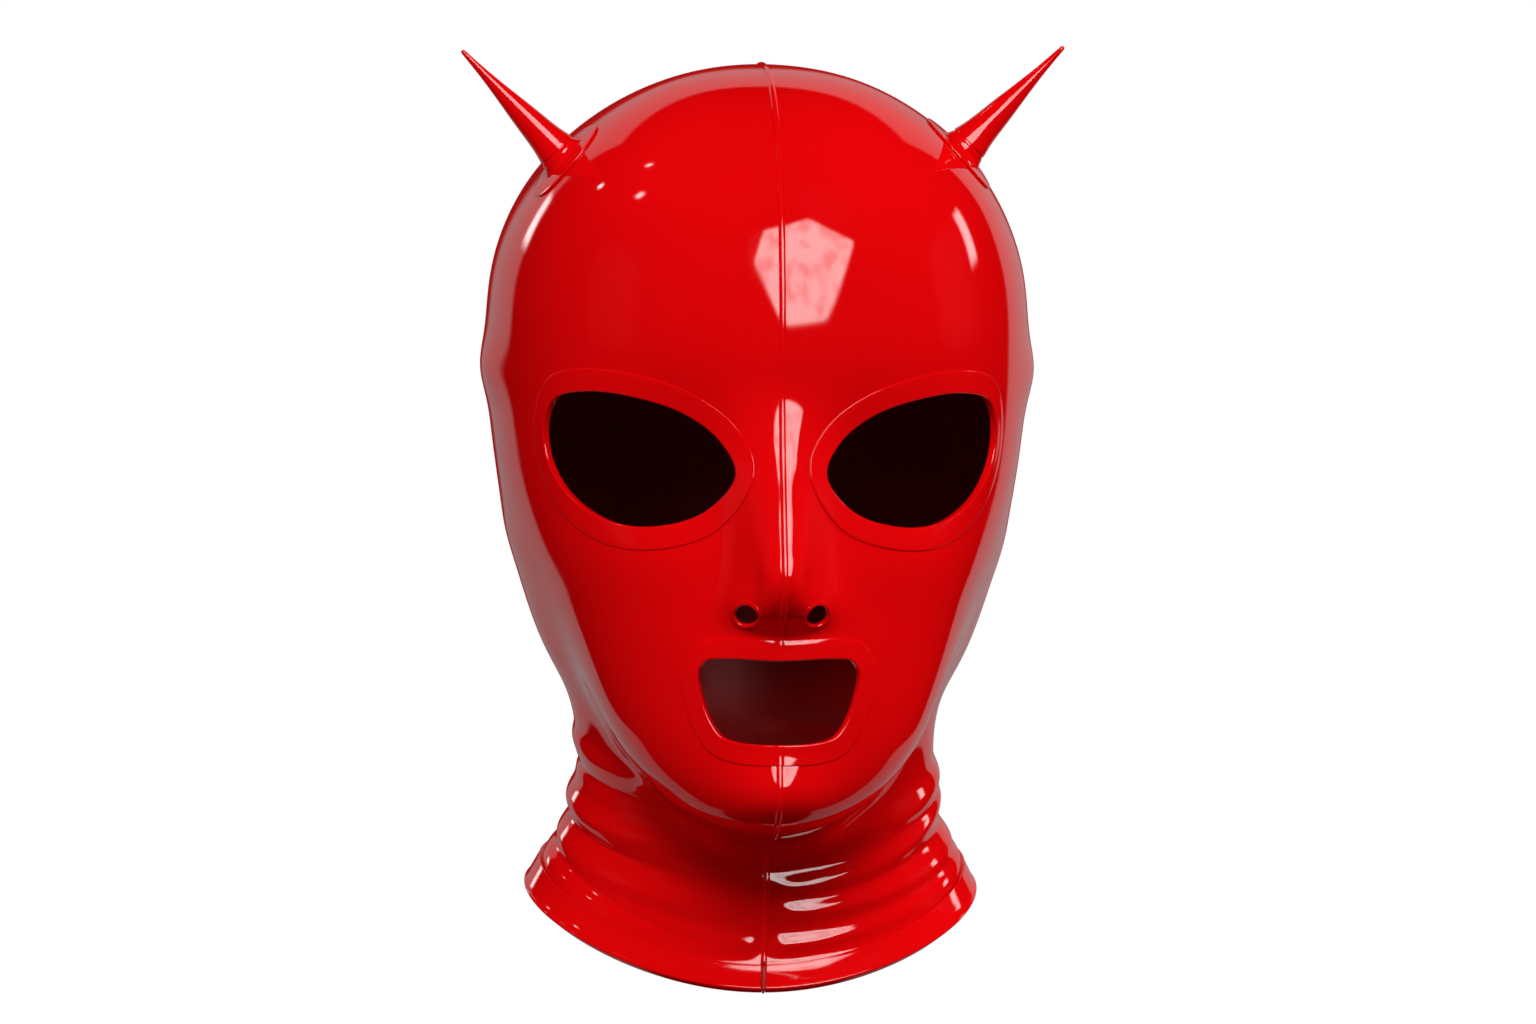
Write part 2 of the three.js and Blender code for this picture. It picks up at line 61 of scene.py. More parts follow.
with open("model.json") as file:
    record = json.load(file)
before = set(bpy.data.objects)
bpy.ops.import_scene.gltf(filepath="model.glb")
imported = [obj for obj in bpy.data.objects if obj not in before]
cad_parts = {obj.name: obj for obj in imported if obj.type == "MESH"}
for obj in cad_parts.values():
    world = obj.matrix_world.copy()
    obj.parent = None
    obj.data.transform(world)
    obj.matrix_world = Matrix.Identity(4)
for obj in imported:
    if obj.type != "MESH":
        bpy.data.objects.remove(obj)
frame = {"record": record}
CAD_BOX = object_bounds()
RED = tuple(frame["record"]["materials"][0]["base_color"])
# Share of the red kept on the insides: the darker red there is painted shade, for the dark inside of the
# hood
INSIDE_SHADE = 0.5
SHADED_INSIDE_RED = tuple(channel * INSIDE_SHADE for channel in RED)

MM = 0.001
SIDES = {"left": 1, "right": -1}


# Tables of the hood's form


def table(columns, rows):
    """Columns of a table by name, as arrays."""
    return {name: np.array(values) for name, values in zip(columns.split(), zip(*rows))}


def rows_of(columns):
    """Rows of a table, as dictionaries."""
    return [dict(zip(columns, row)) for row in zip(*(values.tolist() for values in columns.values()))]


# Rings of the outer face from the neck edge up to the crown: how far the middle stands to the side,
# the height at the front, side and back, how much higher it runs between the front and the side, and
# the radius in five directions from the front to the back
SECTIONS = table("at sway front_z side_z back_z lift front front_corner side back_corner back", [
    ("hem edge", -0.7, -252.5, -233.3, -236, 0, 58, 61.3, 63.8, 66, 68),
    ("hem top", -0.4, -246.5, -226.3, -228, 0, 54.2, 57, 59.8, 62, 64),
    ("neck", 0.1, -236.8, -217, -217, 0, 52.6, 53.6, 54.5, 58, 61),
    ("mid neck", 0.4, -227, -205.5, -204, 1.5, 51.8, 51.7, 51.8, 56.5, 61),
    ("throat", 0.3, -219, -194, -191, 5, 51, 50.8, 51, 57, 63),
    ("under chin", 0, -211, -182, -178, 10, 66, 55.5, 52.4, 59.5, 67),
    ("jaw edge", 0, -203.6, -173, -166, 11, 86.5, 62, 55.8, 63.5, 72.5),
    ("chin", 0, -192, -163, -152, 9, 97.5, 67.5, 61, 69, 80.5),
    ("mouth", 0, -166, -143, -132, 3.5, 101, 74.5, 68, 77.5, 89.5),
    ("lip", 0, -151, -131, -119, 1.2, 100.7, 77.7, 71.4, 81.4, 93.1),
    ("nose base", 0, -145, -126, -114, 0.4, 100, 79, 72.2, 83, 94.5),
    ("cheek", 0, -123, -108, -98, 0, 97.5, 82, 74.8, 87, 98),
    ("eyes", 0, -101, -90, -82, 0, 95.5, 83, 76.4, 89, 98.5),
    ("brow", 0, -79, -74, -67, 0, 97, 84, 76.7, 89, 97.5),
    ("forehead", 0, -56, -55, -50, 0, 94, 82, 74.7, 86, 93),
    ("hairline", 0, -34, -35, -33, 0, 85, 75, 66.6, 78, 85),
    ("upper hood", 0, -15, -16, -16, 0, 65, 57.5, 50, 58.5, 65),
    ("top", 0, -2.8, -3.4, -4, 0, 38, 33, 27.5, 32, 36),
    ("crown", 0, 1.2, 1.2, 1.2, 0, 0, 0, 0, 0, 0),
])
HEIGHTS = ("front_z", "side_z", "back_z")
RADII = ("front", "front_corner", "side", "back_corner", "back")
LEVELS = np.arange(len(SECTIONS["at"]))
CROWN = LEVELS[-1]
HEM_TOP = 1

# Folds that gather round the neck on each side, and the creases between them: they run round it at
# these heights and die out towards the seams within the angle fade
FOLDS = table("at side front_z side_z back_z rise spread fade", [
    ("left, upper", 1, -212.5, -200.5, -195, 1.6, 3.4, 0.2),
    ("left, middle", 1, -225, -206.5, -204, 1.3, 2.8, 0.15),
    ("left, lower", 1, -232.5, -219, -215, 1.3, 2.8, 0.15),
    ("left, lowest", 1, -241.2, -224, -222, 1, 2.4, 0.06),
    ("left, upper crease", 1, -221, -203.7, -199, -0.5, 1.6, 0.3),
    ("left, lower crease", 1, -228.8, -213, -209, -0.5, 1.6, 0.3),
    ("right, lowest", -1, -241.2, -224, -222, 0.7, 2.4, 0.06),
    ("right, upper", -1, -200, -191, -186, 1.2, 3.2, 0.25),
    ("right, middle", -1, -216, -208, -202, 1.9, 3.6, 0.35),
    ("right, lower", -1, -232, -218, -215, 1.2, 3.4, 0.35),
    ("right, upper crease", -1, -206, -197.5, -193, -0.8, 1.5, 0.35),
    ("right, middle crease", -1, -224.5, -212.5, -208, -0.9, 1.5, 0.3),
    ("right, lower crease", -1, -242, -221, -219, -0.8, 1.5, 0.4),
])

# Ridge of the nose, from the upper lip up to the brow
NOSE = table("at height rise half_width", [
    ("lip", -149.6, 0, 11),
    ("underside", -143, 9, 12),
    ("under tip", -138, 14.8, 11.5),
    ("tip", -131.5, 17.2, 11),
    ("ridge", -124, 15.4, 11),
    ("bridge", -113, 12, 12),
    ("root", -95, 4.5, 14),
    ("brow", -79, 0, 16),
])
NOSE_STEEPNESS = 2.5

# Soft swellings and hollows of the face, as seen from the front, on both sides if they lie off the middle
RELIEF = table("at across height half_width half_height rise", [
    ("eye sockets", 34, -104, 22, 17, -5),
    ("cheekbones", 44, -128, 18, 14, 3),
    ("chin", 0, -194, 16, 11, 7.5),
    ("throat", 0, -223, 7, 3, 0.8),
    ("wings of the nose", 12.5, -139, 2.8, 4.5, 1.3),
    ("grooves beside its tip", 7.4, -133, 1.9, 5, -1.2),
])

# Soft bump on each side of the hood
SIDE_BUMP = {"angle": 1.6, "angle_spread": 0.3, "height": -85, "spread": 9, "rise": 2}

# Eye opening on the left and half of the mouth opening, as seen from the front
EYE = np.array([
    (11.9, -106), (16, -97.4), (25.5, -90.4), (38, -86.7), (50, -85.9), (58.6, -88.6),
    (61.5, -95.5), (60.4, -106.5), (54.5, -115.3), (44, -120.6), (32, -120.8), (19.5, -116.2),
])
MOUTH_HALF = np.array([
    (0, -155.4), (14.5, -155.1), (19.3, -155.9), (21.4, -159.3), (20.6, -165.3), (18, -172.3),
    (15.2, -176), (11.5, -177.3), (0, -177.9),
])
NOSTRIL = np.array([9.4, -142.7])
NOSTRIL_HALF = np.array([2.95, 2.9])

# Place of each horn on the face, and its form along its axis from the face to the tip: a collar with a
# step, and a thorn
HORN_PLACES = {"left": (1.2, 15.62), "right": (-1.16, 15.48)}
HORN_LEAN = np.array([0.695, 0, 0.719])
HORN_FOOT = 7.3
COLLAR = table("along radius", [
    (1.9, 6),
    (2.3, 5.72),
    (2.7, 5.55),
    (2.95, 5.45),
    (3.05, 5.45),
    (3.12, 5.55),
    (3.2, 5.66),
])
THORN = table("along radius", [
    (3.3, 5.65),
    (5, 5.2),
    (7.6, 4.65),
    (11, 4.15),
    (15, 3.65),
    (21, 2.8),
    (32, 1.35),
    (40.1, 0.65),
])
HORN_TIP = 40.9


# The outer face


def spline(knots, values, start=None, end=None):
    """Cubic through values at rising knots, with straight ends or ends of the slopes given."""
    knots = np.asarray(knots, float)
    values = np.asarray(values, float)
    span = np.diff(knots)
    slope = np.diff(values) / span
    last = len(knots) - 1
    matrix = np.eye(last + 1)
    right = np.zeros(last + 1)
    for i in range(1, last):
        matrix[i, i - 1:i + 2] = span[i - 1], 2 * (span[i - 1] + span[i]), span[i]
        right[i] = 6 * (slope[i] - slope[i - 1])
    if start is not None:
        matrix[0, :2] = 2, 1
        right[0] = 6 * (slope[0] - start) / span[0]
    if end is not None:
        matrix[last, last - 1:] = 1, 2
        right[last] = 6 * (end - slope[-1]) / span[-1]
    bend = np.linalg.solve(matrix, right)

    def curve(x):
        i = np.clip(np.searchsorted(knots, x) - 1, 0, last - 1)
        b = (x - knots[i]) / span[i]
        a = 1 - b
        curved = ((a ** 3 - a) * bend[i] + (b ** 3 - b) * bend[i + 1]) * span[i] ** 2 / 6
        return a * values[i] + b * values[i + 1] + curved

    return curve


def around(values, angle):
    """Value at an angle round the axis, from values at even steps from the front to the back."""
    last = len(values) - 1
    half = [0.5 if i in (0, last) else 1 for i in range(last + 1)]
    total = 0
    for wave in range(last + 1):
        share = sum(half[i] * values[i] * math.cos(wave * i * math.pi / last) for i in range(last + 1))
        total = total + 2 / last * half[wave] * share * np.cos(wave * angle)
    return total


def bell(x):
    """Soft bump that is 1 in its middle."""
    return np.exp(-np.square(x))


def section_distances():
    """Distance up the hood of each ring: the mean of the front, side and back."""
    ways = zip(("front", "side", "back"), HEIGHTS)
    steps = [np.hypot(np.diff(SECTIONS[out]), np.diff(SECTIONS[up])) for out, up in ways]
    return np.concatenate([[0], np.cumsum(np.mean(steps, axis=0))])


DISTANCES = section_distances()
HEIGHT_CURVES = [spline(DISTANCES, SECTIONS[name], None, 0) for name in HEIGHTS]
RADIUS_CURVES = [spline(DISTANCES, SECTIONS[name]) for name in RADII]
SWAY_CURVE = spline(DISTANCES, SECTIONS["sway"])
LIFT_CURVE = spline(DISTANCES, SECTIONS["lift"])
NOSE_RISE = spline(NOSE["height"], NOSE["rise"], 0, 0)
NOSE_HALF_WIDTH = spline(NOSE["height"], NOSE["half_width"])


def nose_push(across, height):
    """How far the nose stands out: a rounded ridge with steep sides."""
    low, high = NOSE["height"][0], NOSE["height"][-1]
    kept = np.clip(height, low, high)
    push = NOSE_RISE(kept) * np.exp(-(np.abs(across) / NOSE_HALF_WIDTH(kept)) ** NOSE_STEEPNESS)
    return np.where((height < low) | (height > high), 0, push)


def relief_push(across, height):
    """How far the soft forms of the face stand out."""
    push = 0
    for form in rows_of(RELIEF):
        tall = form["rise"] * bell((height - form["height"]) / form["half_height"])
        for middle in {form["across"], -form["across"]}:
            push = push + tall * bell((across - middle) / form["half_width"])
    return push


def fold_push(angle, height):
    """How far the neck folds stand out."""
    turn = np.abs(angle)
    push = 0
    for fold in rows_of(FOLDS):
        middle = around([fold[name] for name in HEIGHTS], angle)
        fade = (1 - bell(turn / fold["fade"])) * (1 - bell((math.pi - turn) / fold["fade"]))
        roll = fade * fold["rise"] * bell((height - middle) / fold["spread"])
        push = push + np.where(fold["side"] * angle > 0, roll, 0)
    return push


def side_bump_push(angle, height):
    """How far the bumps on the sides stand out."""
    rise = SIDE_BUMP["rise"] * bell((height - SIDE_BUMP["height"]) / SIDE_BUMP["spread"])
    return rise * bell((np.abs(angle) - SIDE_BUMP["angle"]) / SIDE_BUMP["angle_spread"])


def sway_at(level):
    """How far the middle of the hood stands to the side, in metres."""
    return SWAY_CURVE(np.interp(level, LEVELS, DISTANCES)) * MM


def face_point(angle, level):
    """Points of the outer face, in metres."""
    distance = np.interp(level, LEVELS, DISTANCES)
    corner = np.where(np.abs(angle) < math.pi / 2, np.sin(2 * angle) ** 2, 0)
    height = around([curve(distance) for curve in HEIGHT_CURVES], angle) + LIFT_CURVE(distance) * corner
    radius = around([curve(distance) for curve in RADIUS_CURVES], angle)
    radius = radius + fold_push(angle, height) + side_bump_push(angle, height)
    across = radius * np.sin(angle)
    front = np.maximum(0, np.cos(angle)) ** 2
    push = (nose_push(across, height) + relief_push(across, height)) * front
    return np.stack([across + SWAY_CURVE(distance), -radius * np.cos(angle) - push, height], axis=-1) * MM


# Small step for slopes, and how near the crown they are still measured
STEP = 1e-3
POLE = 5e-3


def face_rates(angle, level):
    """The two directions along the face, as rates of the angle and the level."""
    turn = (face_point(angle + STEP, level) - face_point(angle - STEP, level)) / (2 * STEP)
    low = np.maximum(level - STEP, 0)
    high = np.minimum(level + STEP, CROWN)
    climb = (face_point(angle, high) - face_point(angle, low)) / (high - low)[..., None]
    return turn, climb


def unit(vectors):
    """The same directions with length 1."""
    return vectors / np.linalg.norm(vectors, axis=-1, keepdims=True)


def dot(a, b):
    """Products of directions, one for each place."""
    return np.sum(a * b, axis=-1)


def face_normal(angle, level):
    """Directions straight out of the face."""
    turn, climb = face_rates(angle, np.minimum(level, CROWN - POLE))
    return unit(np.cross(turn, climb))


def off_face(angle, level, offset):
    """Points above the face, or below it where the offset is negative."""
    return face_point(angle, level) + face_normal(angle, level) * np.asarray(offset)[..., None]


def step_along(angle, level, move):
    """Changes of angle and level that make a small move along the face."""
    turn, climb = face_rates(angle, level)
    turn_turn, turn_climb, climb_climb = dot(turn, turn), dot(turn, climb), dot(climb, climb)
    area = turn_turn * climb_climb - turn_climb ** 2
    along_turn, along_climb = dot(turn, move), dot(climb, move)
    turn_by = (along_turn * climb_climb - along_climb * turn_climb) / area
    climb_by = (along_climb * turn_turn - along_turn * turn_climb) / area
    return turn_by, climb_by


WALK_STEPS = 6


def walk(angle, level, direction, distance):
    """Places reached by walking along the face in a direction."""
    for _ in range(WALK_STEPS):
        normal = face_normal(angle, level)
        flat = unit(direction - normal * dot(direction, normal)[..., None])
        turn_by, climb_by = step_along(angle, level, flat * distance / WALK_STEPS)
        angle, level = angle + turn_by, level + climb_by
    return angle, level


# Search for a place that is seen from the front: where it starts, its rounds and its longest steps
SEARCH = {"depth": 90, "level": 10.0, "rounds": 40, "turn": 0.2, "climb": 1.0}


def places_seen_from_front(outline):
    """Places on the front of the face with the distances across and heights given, in millimetres."""
    across, height = np.asarray(outline, float).T
    angle = np.arctan2(across, SEARCH["depth"])
    level = np.full_like(angle, SEARCH["level"])
    for _ in range(SEARCH["rounds"]):
        point = face_point(angle, level) / MM
        turn, climb = (rate / MM for rate in face_rates(angle, level))
        miss_x, miss_z = across - point[..., 0], height - point[..., 2]
        area = turn[..., 0] * climb[..., 2] - turn[..., 2] * climb[..., 0]
        turn_by = (miss_x * climb[..., 2] - miss_z * climb[..., 0]) / area
        climb_by = (miss_z * turn[..., 0] - miss_x * turn[..., 2]) / area
        angle = angle + np.clip(turn_by, -SEARCH["turn"], SEARCH["turn"])
        level = np.clip(level + np.clip(climb_by, -SEARCH["climb"], SEARCH["climb"]), 0, CROWN - POLE)
    return angle, level


# Outlines of the openings


CURVE_STEPS = 60


def smooth_loop(knots, count):
    """Evenly spaced points on a smooth closed curve through the knots, which may be crowded."""
    fine = np.linspace(0, 1, CURVE_STEPS, endpoint=False)[:, None]
    pieces = []
    for i in range(len(knots)):
        p0, p1, p2, p3 = (knots[(i + k) % len(knots)] for k in (-1, 0, 1, 2))
        t1, t2, t3 = np.cumsum([np.linalg.norm(b - a) ** 0.5 for a, b in ((p0, p1), (p1, p2), (p2, p3))])
        t = t1 + (t2 - t1) * fine
        a1 = ((t1 - t) * p0 + t * p1) / t1
        a2 = ((t2 - t) * p1 + (t - t1) * p2) / (t2 - t1)
        a3 = ((t3 - t) * p2 + (t - t2) * p3) / (t3 - t2)
        b1 = ((t2 - t) * a1 + t * a2) / t2
        b2 = ((t3 - t) * a2 + (t - t1) * a3) / (t3 - t1)
        pieces.append(((t2 - t) * b1 + (t - t1) * b2) / (t2 - t1))
    dense = np.concatenate(pieces)
    closed = np.concatenate([dense, dense[:1]])
    length = np.concatenate([[0], np.cumsum(np.linalg.norm(np.diff(closed, axis=0), axis=1))])
    even = np.linspace(0, length[-1], count, endpoint=False)
    return np.stack([np.interp(even, length, closed[:, k]) for k in (0, 1)], axis=1)


def mirrored(knots):
    """The same outline on the other side."""
    return (knots * (-1, 1))[::-1]


def circle_places(centre, radius, count):
    """Places on a circle round a centre, measured along the face in metres."""
    angle, level = np.full(count, centre[0]), np.full(count, centre[1])
    normal = face_normal(angle, level)
    up = unit(face_rates(angle, level)[1])
    side = np.cross(up, normal)
    turn = np.linspace(0, 2 * math.pi, count, endpoint=False)[:, None]
    return walk(angle, level, up * np.cos(turn) + side * np.sin(turn), radius)


def beside(outline, distance):
    """Places beside an outline, a distance away from the opening along the face."""
    angle, level = outline
    points = face_point(angle, level)
    along = np.roll(points, -1, axis=0) - np.roll(points, 1, axis=0)
    outward = unit(np.cross(face_normal(angle, level), along))
    return walk(angle, level, outward, distance)


EYE_STEPS = 260
MOUTH_STEPS = 420
NOSTRIL_STEPS = 72


def eye_outline(name):
    """Places round an eye opening."""
    knots = EYE if name == "left" else mirrored(EYE)
    return places_seen_from_front(smooth_loop(knots, EYE_STEPS))


def mouth_outline():
    """Places round the mouth opening."""
    knots = np.concatenate([MOUTH_HALF, mirrored(MOUTH_HALF[1:-1])])
    return places_seen_from_front(smooth_loop(knots, MOUTH_STEPS))


def nostril_outline(name):
    """Places round a nostril, which is an ellipse as seen from the front."""
    turn = np.linspace(0, 2 * math.pi, NOSTRIL_STEPS, endpoint=False)
    ellipse = NOSTRIL * (SIDES[name], 1) + NOSTRIL_HALF * np.stack([np.sin(turn), np.cos(turn)], axis=1)
    return places_seen_from_front(ellipse)


# Meshes and pieces

WELD = 2e-6
SHARP = math.radians(50)


def bent_grid(points):
    """Grid bent to rows of points, with doubled edges and poles welded and open ends filled."""
    rows, columns = points.shape[:2]
    bm = bmesh.new()
    bmesh.ops.create_grid(bm, x_segments=columns - 1, y_segments=rows - 1, size=0.5)
    for vert, point in zip(bm.verts, points.reshape(-1, 3)):
        vert.co = point
    bmesh.ops.remove_doubles(bm, verts=bm.verts[:], dist=WELD)
    bmesh.ops.holes_fill(bm, edges=[edge for edge in bm.edges if edge.is_boundary], sides=0)
    return bm


def add_piece(bm, name, slot, *nodes):
    """Object from a finished bmesh, in its finishes, riding on the hood in place of its nodes."""
    bmesh.ops.recalc_face_normals(bm, faces=bm.faces[:])
    for edge in bm.edges:
        edge.smooth = edge.calc_face_angle(0) < SHARP
    for face in bm.faces:
        face.smooth = True
    mesh = bpy.data.meshes.new(name)
    bm.to_mesh(mesh)
    bm.free()
    piece = bpy.data.objects.new(name, mesh)
    bpy.context.scene.collection.objects.link(piece)
    for finish in FINISHES[slot]:
        mesh.materials.append(finish_named(finish))
    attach(piece, "root")
    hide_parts(*nodes)
    return piece


def arc(centre, radius, start, end, steps=5):
    """Points of an arc in a section, in degrees."""
    turn = np.radians(np.linspace(start, end, steps))
    return [(centre[0] + radius * math.cos(t), centre[1] + radius * math.sin(t)) for t in turn]


# Gap under the glued bands, the thickness that they fold round an edge, their roundings, and shares of
# their thickening at shares of their width
GLUE = 0.03 * MM
FOLD = 0.55 * MM
OUTER_ROUND = 0.2 * MM
INNER_ROUND = 0.5 * MM
THICKENING = ((2 / 3, 0.08), (1 / 3, 0.5))


def band_section(width, thin, height, depth):
    """Section of a band that is glued on the wall, thickens towards its edge and is folded round it.

    Pairs of the distance from the edge and the height above the face, from the outer foot over the top
    and round the edge to the inside of the wall.
    """
    return [
        (width, GLUE),
        *arc((width - OUTER_ROUND, thin - OUTER_ROUND), OUTER_ROUND, 0, 90),
        *((width * share, thin + (height - thin) * thicker) for share, thicker in THICKENING),
        *arc((INNER_ROUND, height - INNER_ROUND), INNER_ROUND, 80, 180, 7),
        (0, -depth / 2),
        *arc((OUTER_ROUND, OUTER_ROUND - depth), OUTER_ROUND, 180, 270),
        (FOLD, -depth),
        (FOLD, GLUE),
        (width / 2, GLUE),
    ]


def ring_points(outline, section, rise=0):
    """Points of a band round an opening, its section and its length both closed."""
    rows = []
    for across, height in section:
        angle, level = beside(outline, across)
        rows.append(off_face(angle, level, height + np.where(height > GLUE, rise, 0)))
    rows.append(rows[0])
    points = np.stack(rows)
    return np.concatenate([points, points[:, :1]], axis=1)


# Panels

PANEL_COLUMNS = 156
PANEL_ROWS = 260
NECK_CROWDING = 1.6
FRONT_CROWDING = 0.55
NOSE_AREA = {"turn": 0.27, "low": 9.1, "high": 12.4}
SEAM_ROOM = 0.45 * MM
SEAM_FADE = 3 * MM
EASE_REACH = 4 * MM
EASE_ROUNDS = 4
SAME_PLACE = 1e-6
INSIDE = 1


def inside(loop, places):
    """Which places lie inside a closed loop of places."""
    x, y = places[:, :1], places[:, 1:]
    a, b = loop, np.roll(loop, -1, axis=0)
    crossed = (a[:, 1] > y) != (b[:, 1] > y)
    rise = np.where(crossed, b[:, 1] - a[:, 1], 1)
    reach = a[:, 0] + (y - a[:, 1]) / rise * (b[:, 0] - a[:, 0])
    return np.sum(crossed & (x < reach), axis=1) % 2 == 1


def cut_opening(bm, outline, side):
    """Opens a sheet of places along an outline, and eases the mesh beside it."""
    loop = np.stack(outline, axis=1)
    centres = np.array([face.calc_center_median()[:2] for face in bm.faces])
    doomed = [face for face, gone in zip(bm.faces[:], inside(loop, centres)) if gone]
    touched = {vert for face in doomed for vert in face.verts}
    bmesh.ops.delete(bm, geom=doomed, context="FACES")
    edge_verts = [vert for vert in touched if vert.is_valid]
    turn, climb = face_rates(*(np.array([value]) for value in loop.mean(axis=0)))
    scale = np.array([np.linalg.norm(turn), np.linalg.norm(climb)])

    def nearest(verts):
        gaps = (np.array([vert.co[:2] for vert in verts])[:, None] - loop) * scale
        gaps = np.linalg.norm(gaps, axis=2)
        return gaps.argmin(axis=1), gaps.min(axis=1)

    for vert, place in zip(edge_verts, loop[nearest(edge_verts)[0]]):
        vert.co = (side * max(side * place[0], 0), place[1], 0)
    bmesh.ops.remove_doubles(bm, verts=edge_verts, dist=SAME_PLACE)
    low, high = loop.min(axis=0) - EASE_REACH / scale, loop.max(axis=0) + EASE_REACH / scale
    near = [
        vert for vert in bm.verts
        if low[0] < vert.co.x < high[0] and low[1] < vert.co.y < high[1] and not vert.is_boundary
    ]
    near = [vert for vert, gap in zip(near, nearest(near)[1]) if gap < EASE_REACH]
    for _ in range(EASE_ROUNDS):
        bmesh.ops.smooth_vert(bm, verts=near, factor=0.5, use_axis_x=True, use_axis_y=True)


def beside_seam(points, level, side):
    """Points moved sideways to leave room for the seam."""
    middle = sway_at(level)
    away = side * (points[:, 0] - middle)
    moved = points.copy()
    moved[:, 0] = middle + side * (away + SEAM_ROOM * bell(away / SEAM_FADE))
    return moved


def panel_mesh(name, sizes):
    """One half of the wall, as a sheet of places that is opened, given depth and bent to the face."""
    side = SIDES[name]
    bm = bmesh.new()
    bmesh.ops.create_grid(bm, x_segments=PANEL_COLUMNS, y_segments=PANEL_ROWS, size=0.5)
    for vert in bm.verts:
        even = math.pi * (vert.co.x + 0.5)
        level = np.interp((vert.co.y + 0.5) ** NECK_CROWDING * DISTANCES[-1], DISTANCES, LEVELS)
        vert.co = (side * (even - FRONT_CROWDING * math.sin(even)), level, 0)
    nose = [
        face for face in bm.faces
        if abs(face.calc_center_median().x) < NOSE_AREA["turn"]
        and NOSE_AREA["low"] < face.calc_center_median().y < NOSE_AREA["high"]
    ]
    nose_edges = list({edge for face in nose for edge in face.edges})
    bmesh.ops.subdivide_edges(bm, edges=nose_edges, cuts=1, use_grid_fill=True)
    outlines = (eye_outline(name), mouth_outline(), nostril_outline(name))
    for outline in outlines:
        cut_opening(bm, beside(outline, FOLD + GLUE), side)
    pole = [vert for vert in bm.verts if vert.co.y > CROWN - POLE]
    bmesh.ops.pointmerge(bm, verts=pole, merge_co=(side * math.pi / 2, CROWN, 0))
    made = bmesh.ops.extrude_face_region(bm, geom=bm.faces[:])["geom"]
    for face in made:
        if isinstance(face, bmesh.types.BMFace):
            face.material_index = INSIDE
    inner = [item for item in made if isinstance(item, bmesh.types.BMVert)]
    bmesh.ops.translate(bm, verts=inner, vec=(0, 0, -sizes.wall))
    angle, level, depth = np.array([vert.co for vert in bm.verts]).T
    points = beside_seam(off_face(angle, level, depth), level, side)
    for vert, point in zip(bm.verts, points):
        vert.co = point
    return bm


def add_nostril_lip(bm, name, sizes):
    """Rolled edge of the nostril, in the same mesh as its panel."""
    section = band_section(sizes.lip_width, sizes.lip_height / 2, sizes.lip_height, sizes.lip_height)
    lip = bent_grid(ring_points(nostril_outline(name), section))
    mesh = bpy.data.meshes.new("nostril_lip")
    lip.to_mesh(mesh)
    lip.free()
    bm.from_mesh(mesh)
    bpy.data.meshes.remove(mesh)


class HOOD_OT_panels(bpy.types.Operator):
    """Add the two latex panels, from the crown over the face to the neck edge"""

    bl_idname = "hood.add_panels"
    bl_label = "Panels"

    def execute(self, context):
        for name in SIDES:
            bm = panel_mesh(name, context.scene.hood_sizes)
            add_nostril_lip(bm, name, context.scene.hood_sizes)
            add_piece(bm, f"latex_panel_{name}", "latex", f"hood_{name}")
        return {"FINISHED"}


# Rims

SEAM_BUMP = 0.3 * MM
SEAM_BUMP_SPREAD = 0.9 * MM


class HOOD_OT_rims(bpy.types.Operator):
    """Add the flat bands glued round the eye and mouth openings"""

    bl_idname = "hood.add_rims"
    bl_label = "Rims"

    def execute(self, context):
        sizes = context.scene.hood_sizes
        for name in SIDES:
            section = band_section(sizes.eye_rim_width, sizes.rim_edge, sizes.rim_height, sizes.wall)
            bm = bent_grid(ring_points(eye_outline(name), section))
            add_piece(bm, f"eye_band_{name}", "latex_trim", f"eye_rim_{name}")
        outline = mouth_outline()
        across = face_point(*outline)[:, 0]
        section = band_section(sizes.mouth_rim_width, sizes.rim_edge, sizes.rim_height, sizes.wall)
        bump = SEAM_BUMP * bell(across / SEAM_BUMP_SPREAD)
        add_piece(bent_grid(ring_points(outline, section, bump)), "mouth_band", "latex_trim", "mouth_rim")
        return {"FINISHED"}


# Seams

SEAM_STATIONS = 420
CHIN_STATIONS = 240
STEM = 0.38 * MM
RIDGE_STEPS = 11
HEM_BLEND = 0.03
HOOD_MIDDLE = Vector((0, 0, -0.12))


def seam_section(sizes):
    """Section of the bead: a stem between the panels and a round ridge above them."""
    half = sizes.seam_width / 2
    turns = np.linspace(0, math.pi, RIDGE_STEPS)
    ridge = [(half * math.cos(turn), GLUE + sizes.seam_height * math.sin(turn)) for turn in turns]
    return [(-STEM, GLUE), (-STEM, -sizes.wall), (STEM, -sizes.wall), (STEM, GLUE), *ridge]


# End of the bead, which hangs a little below the neck edge: how far below it, and its share of the width
BEAD_END = table("below width", [(-0.8 * MM, 0.35), (-0.7 * MM, 0.75), (-0.45 * MM, 0.95)])


def seam_points(angle, level, sizes):
    """Points of the bead along places on the middle line up from the neck edge, raised over the hem."""
    count = len(BEAD_END["below"])
    angle = np.concatenate([np.full(count, angle[0]), angle])
    level = np.concatenate([np.full(count, level[0]), level])
    below = np.concatenate([BEAD_END["below"], np.zeros(len(level) - count)])[:, None]
    width = np.concatenate([BEAD_END["width"], np.ones(len(level) - count)])
    over_hem = 1 / (1 + np.exp((level - HEM_TOP) / HEM_BLEND))
    raised = (sizes.hem_height + GLUE) * over_hem
    climb = unit(face_rates(angle, np.minimum(level, CROWN - POLE))[1])
    rows = []
    for across, height in seam_section(sizes):
        point = off_face(angle, level, height + np.where(height >= GLUE, raised, 0)) + climb * below
        point[:, 0] = sway_at(level) + across * width
        rows.append(point)
    rows.append(rows[0])
    return np.stack(rows)


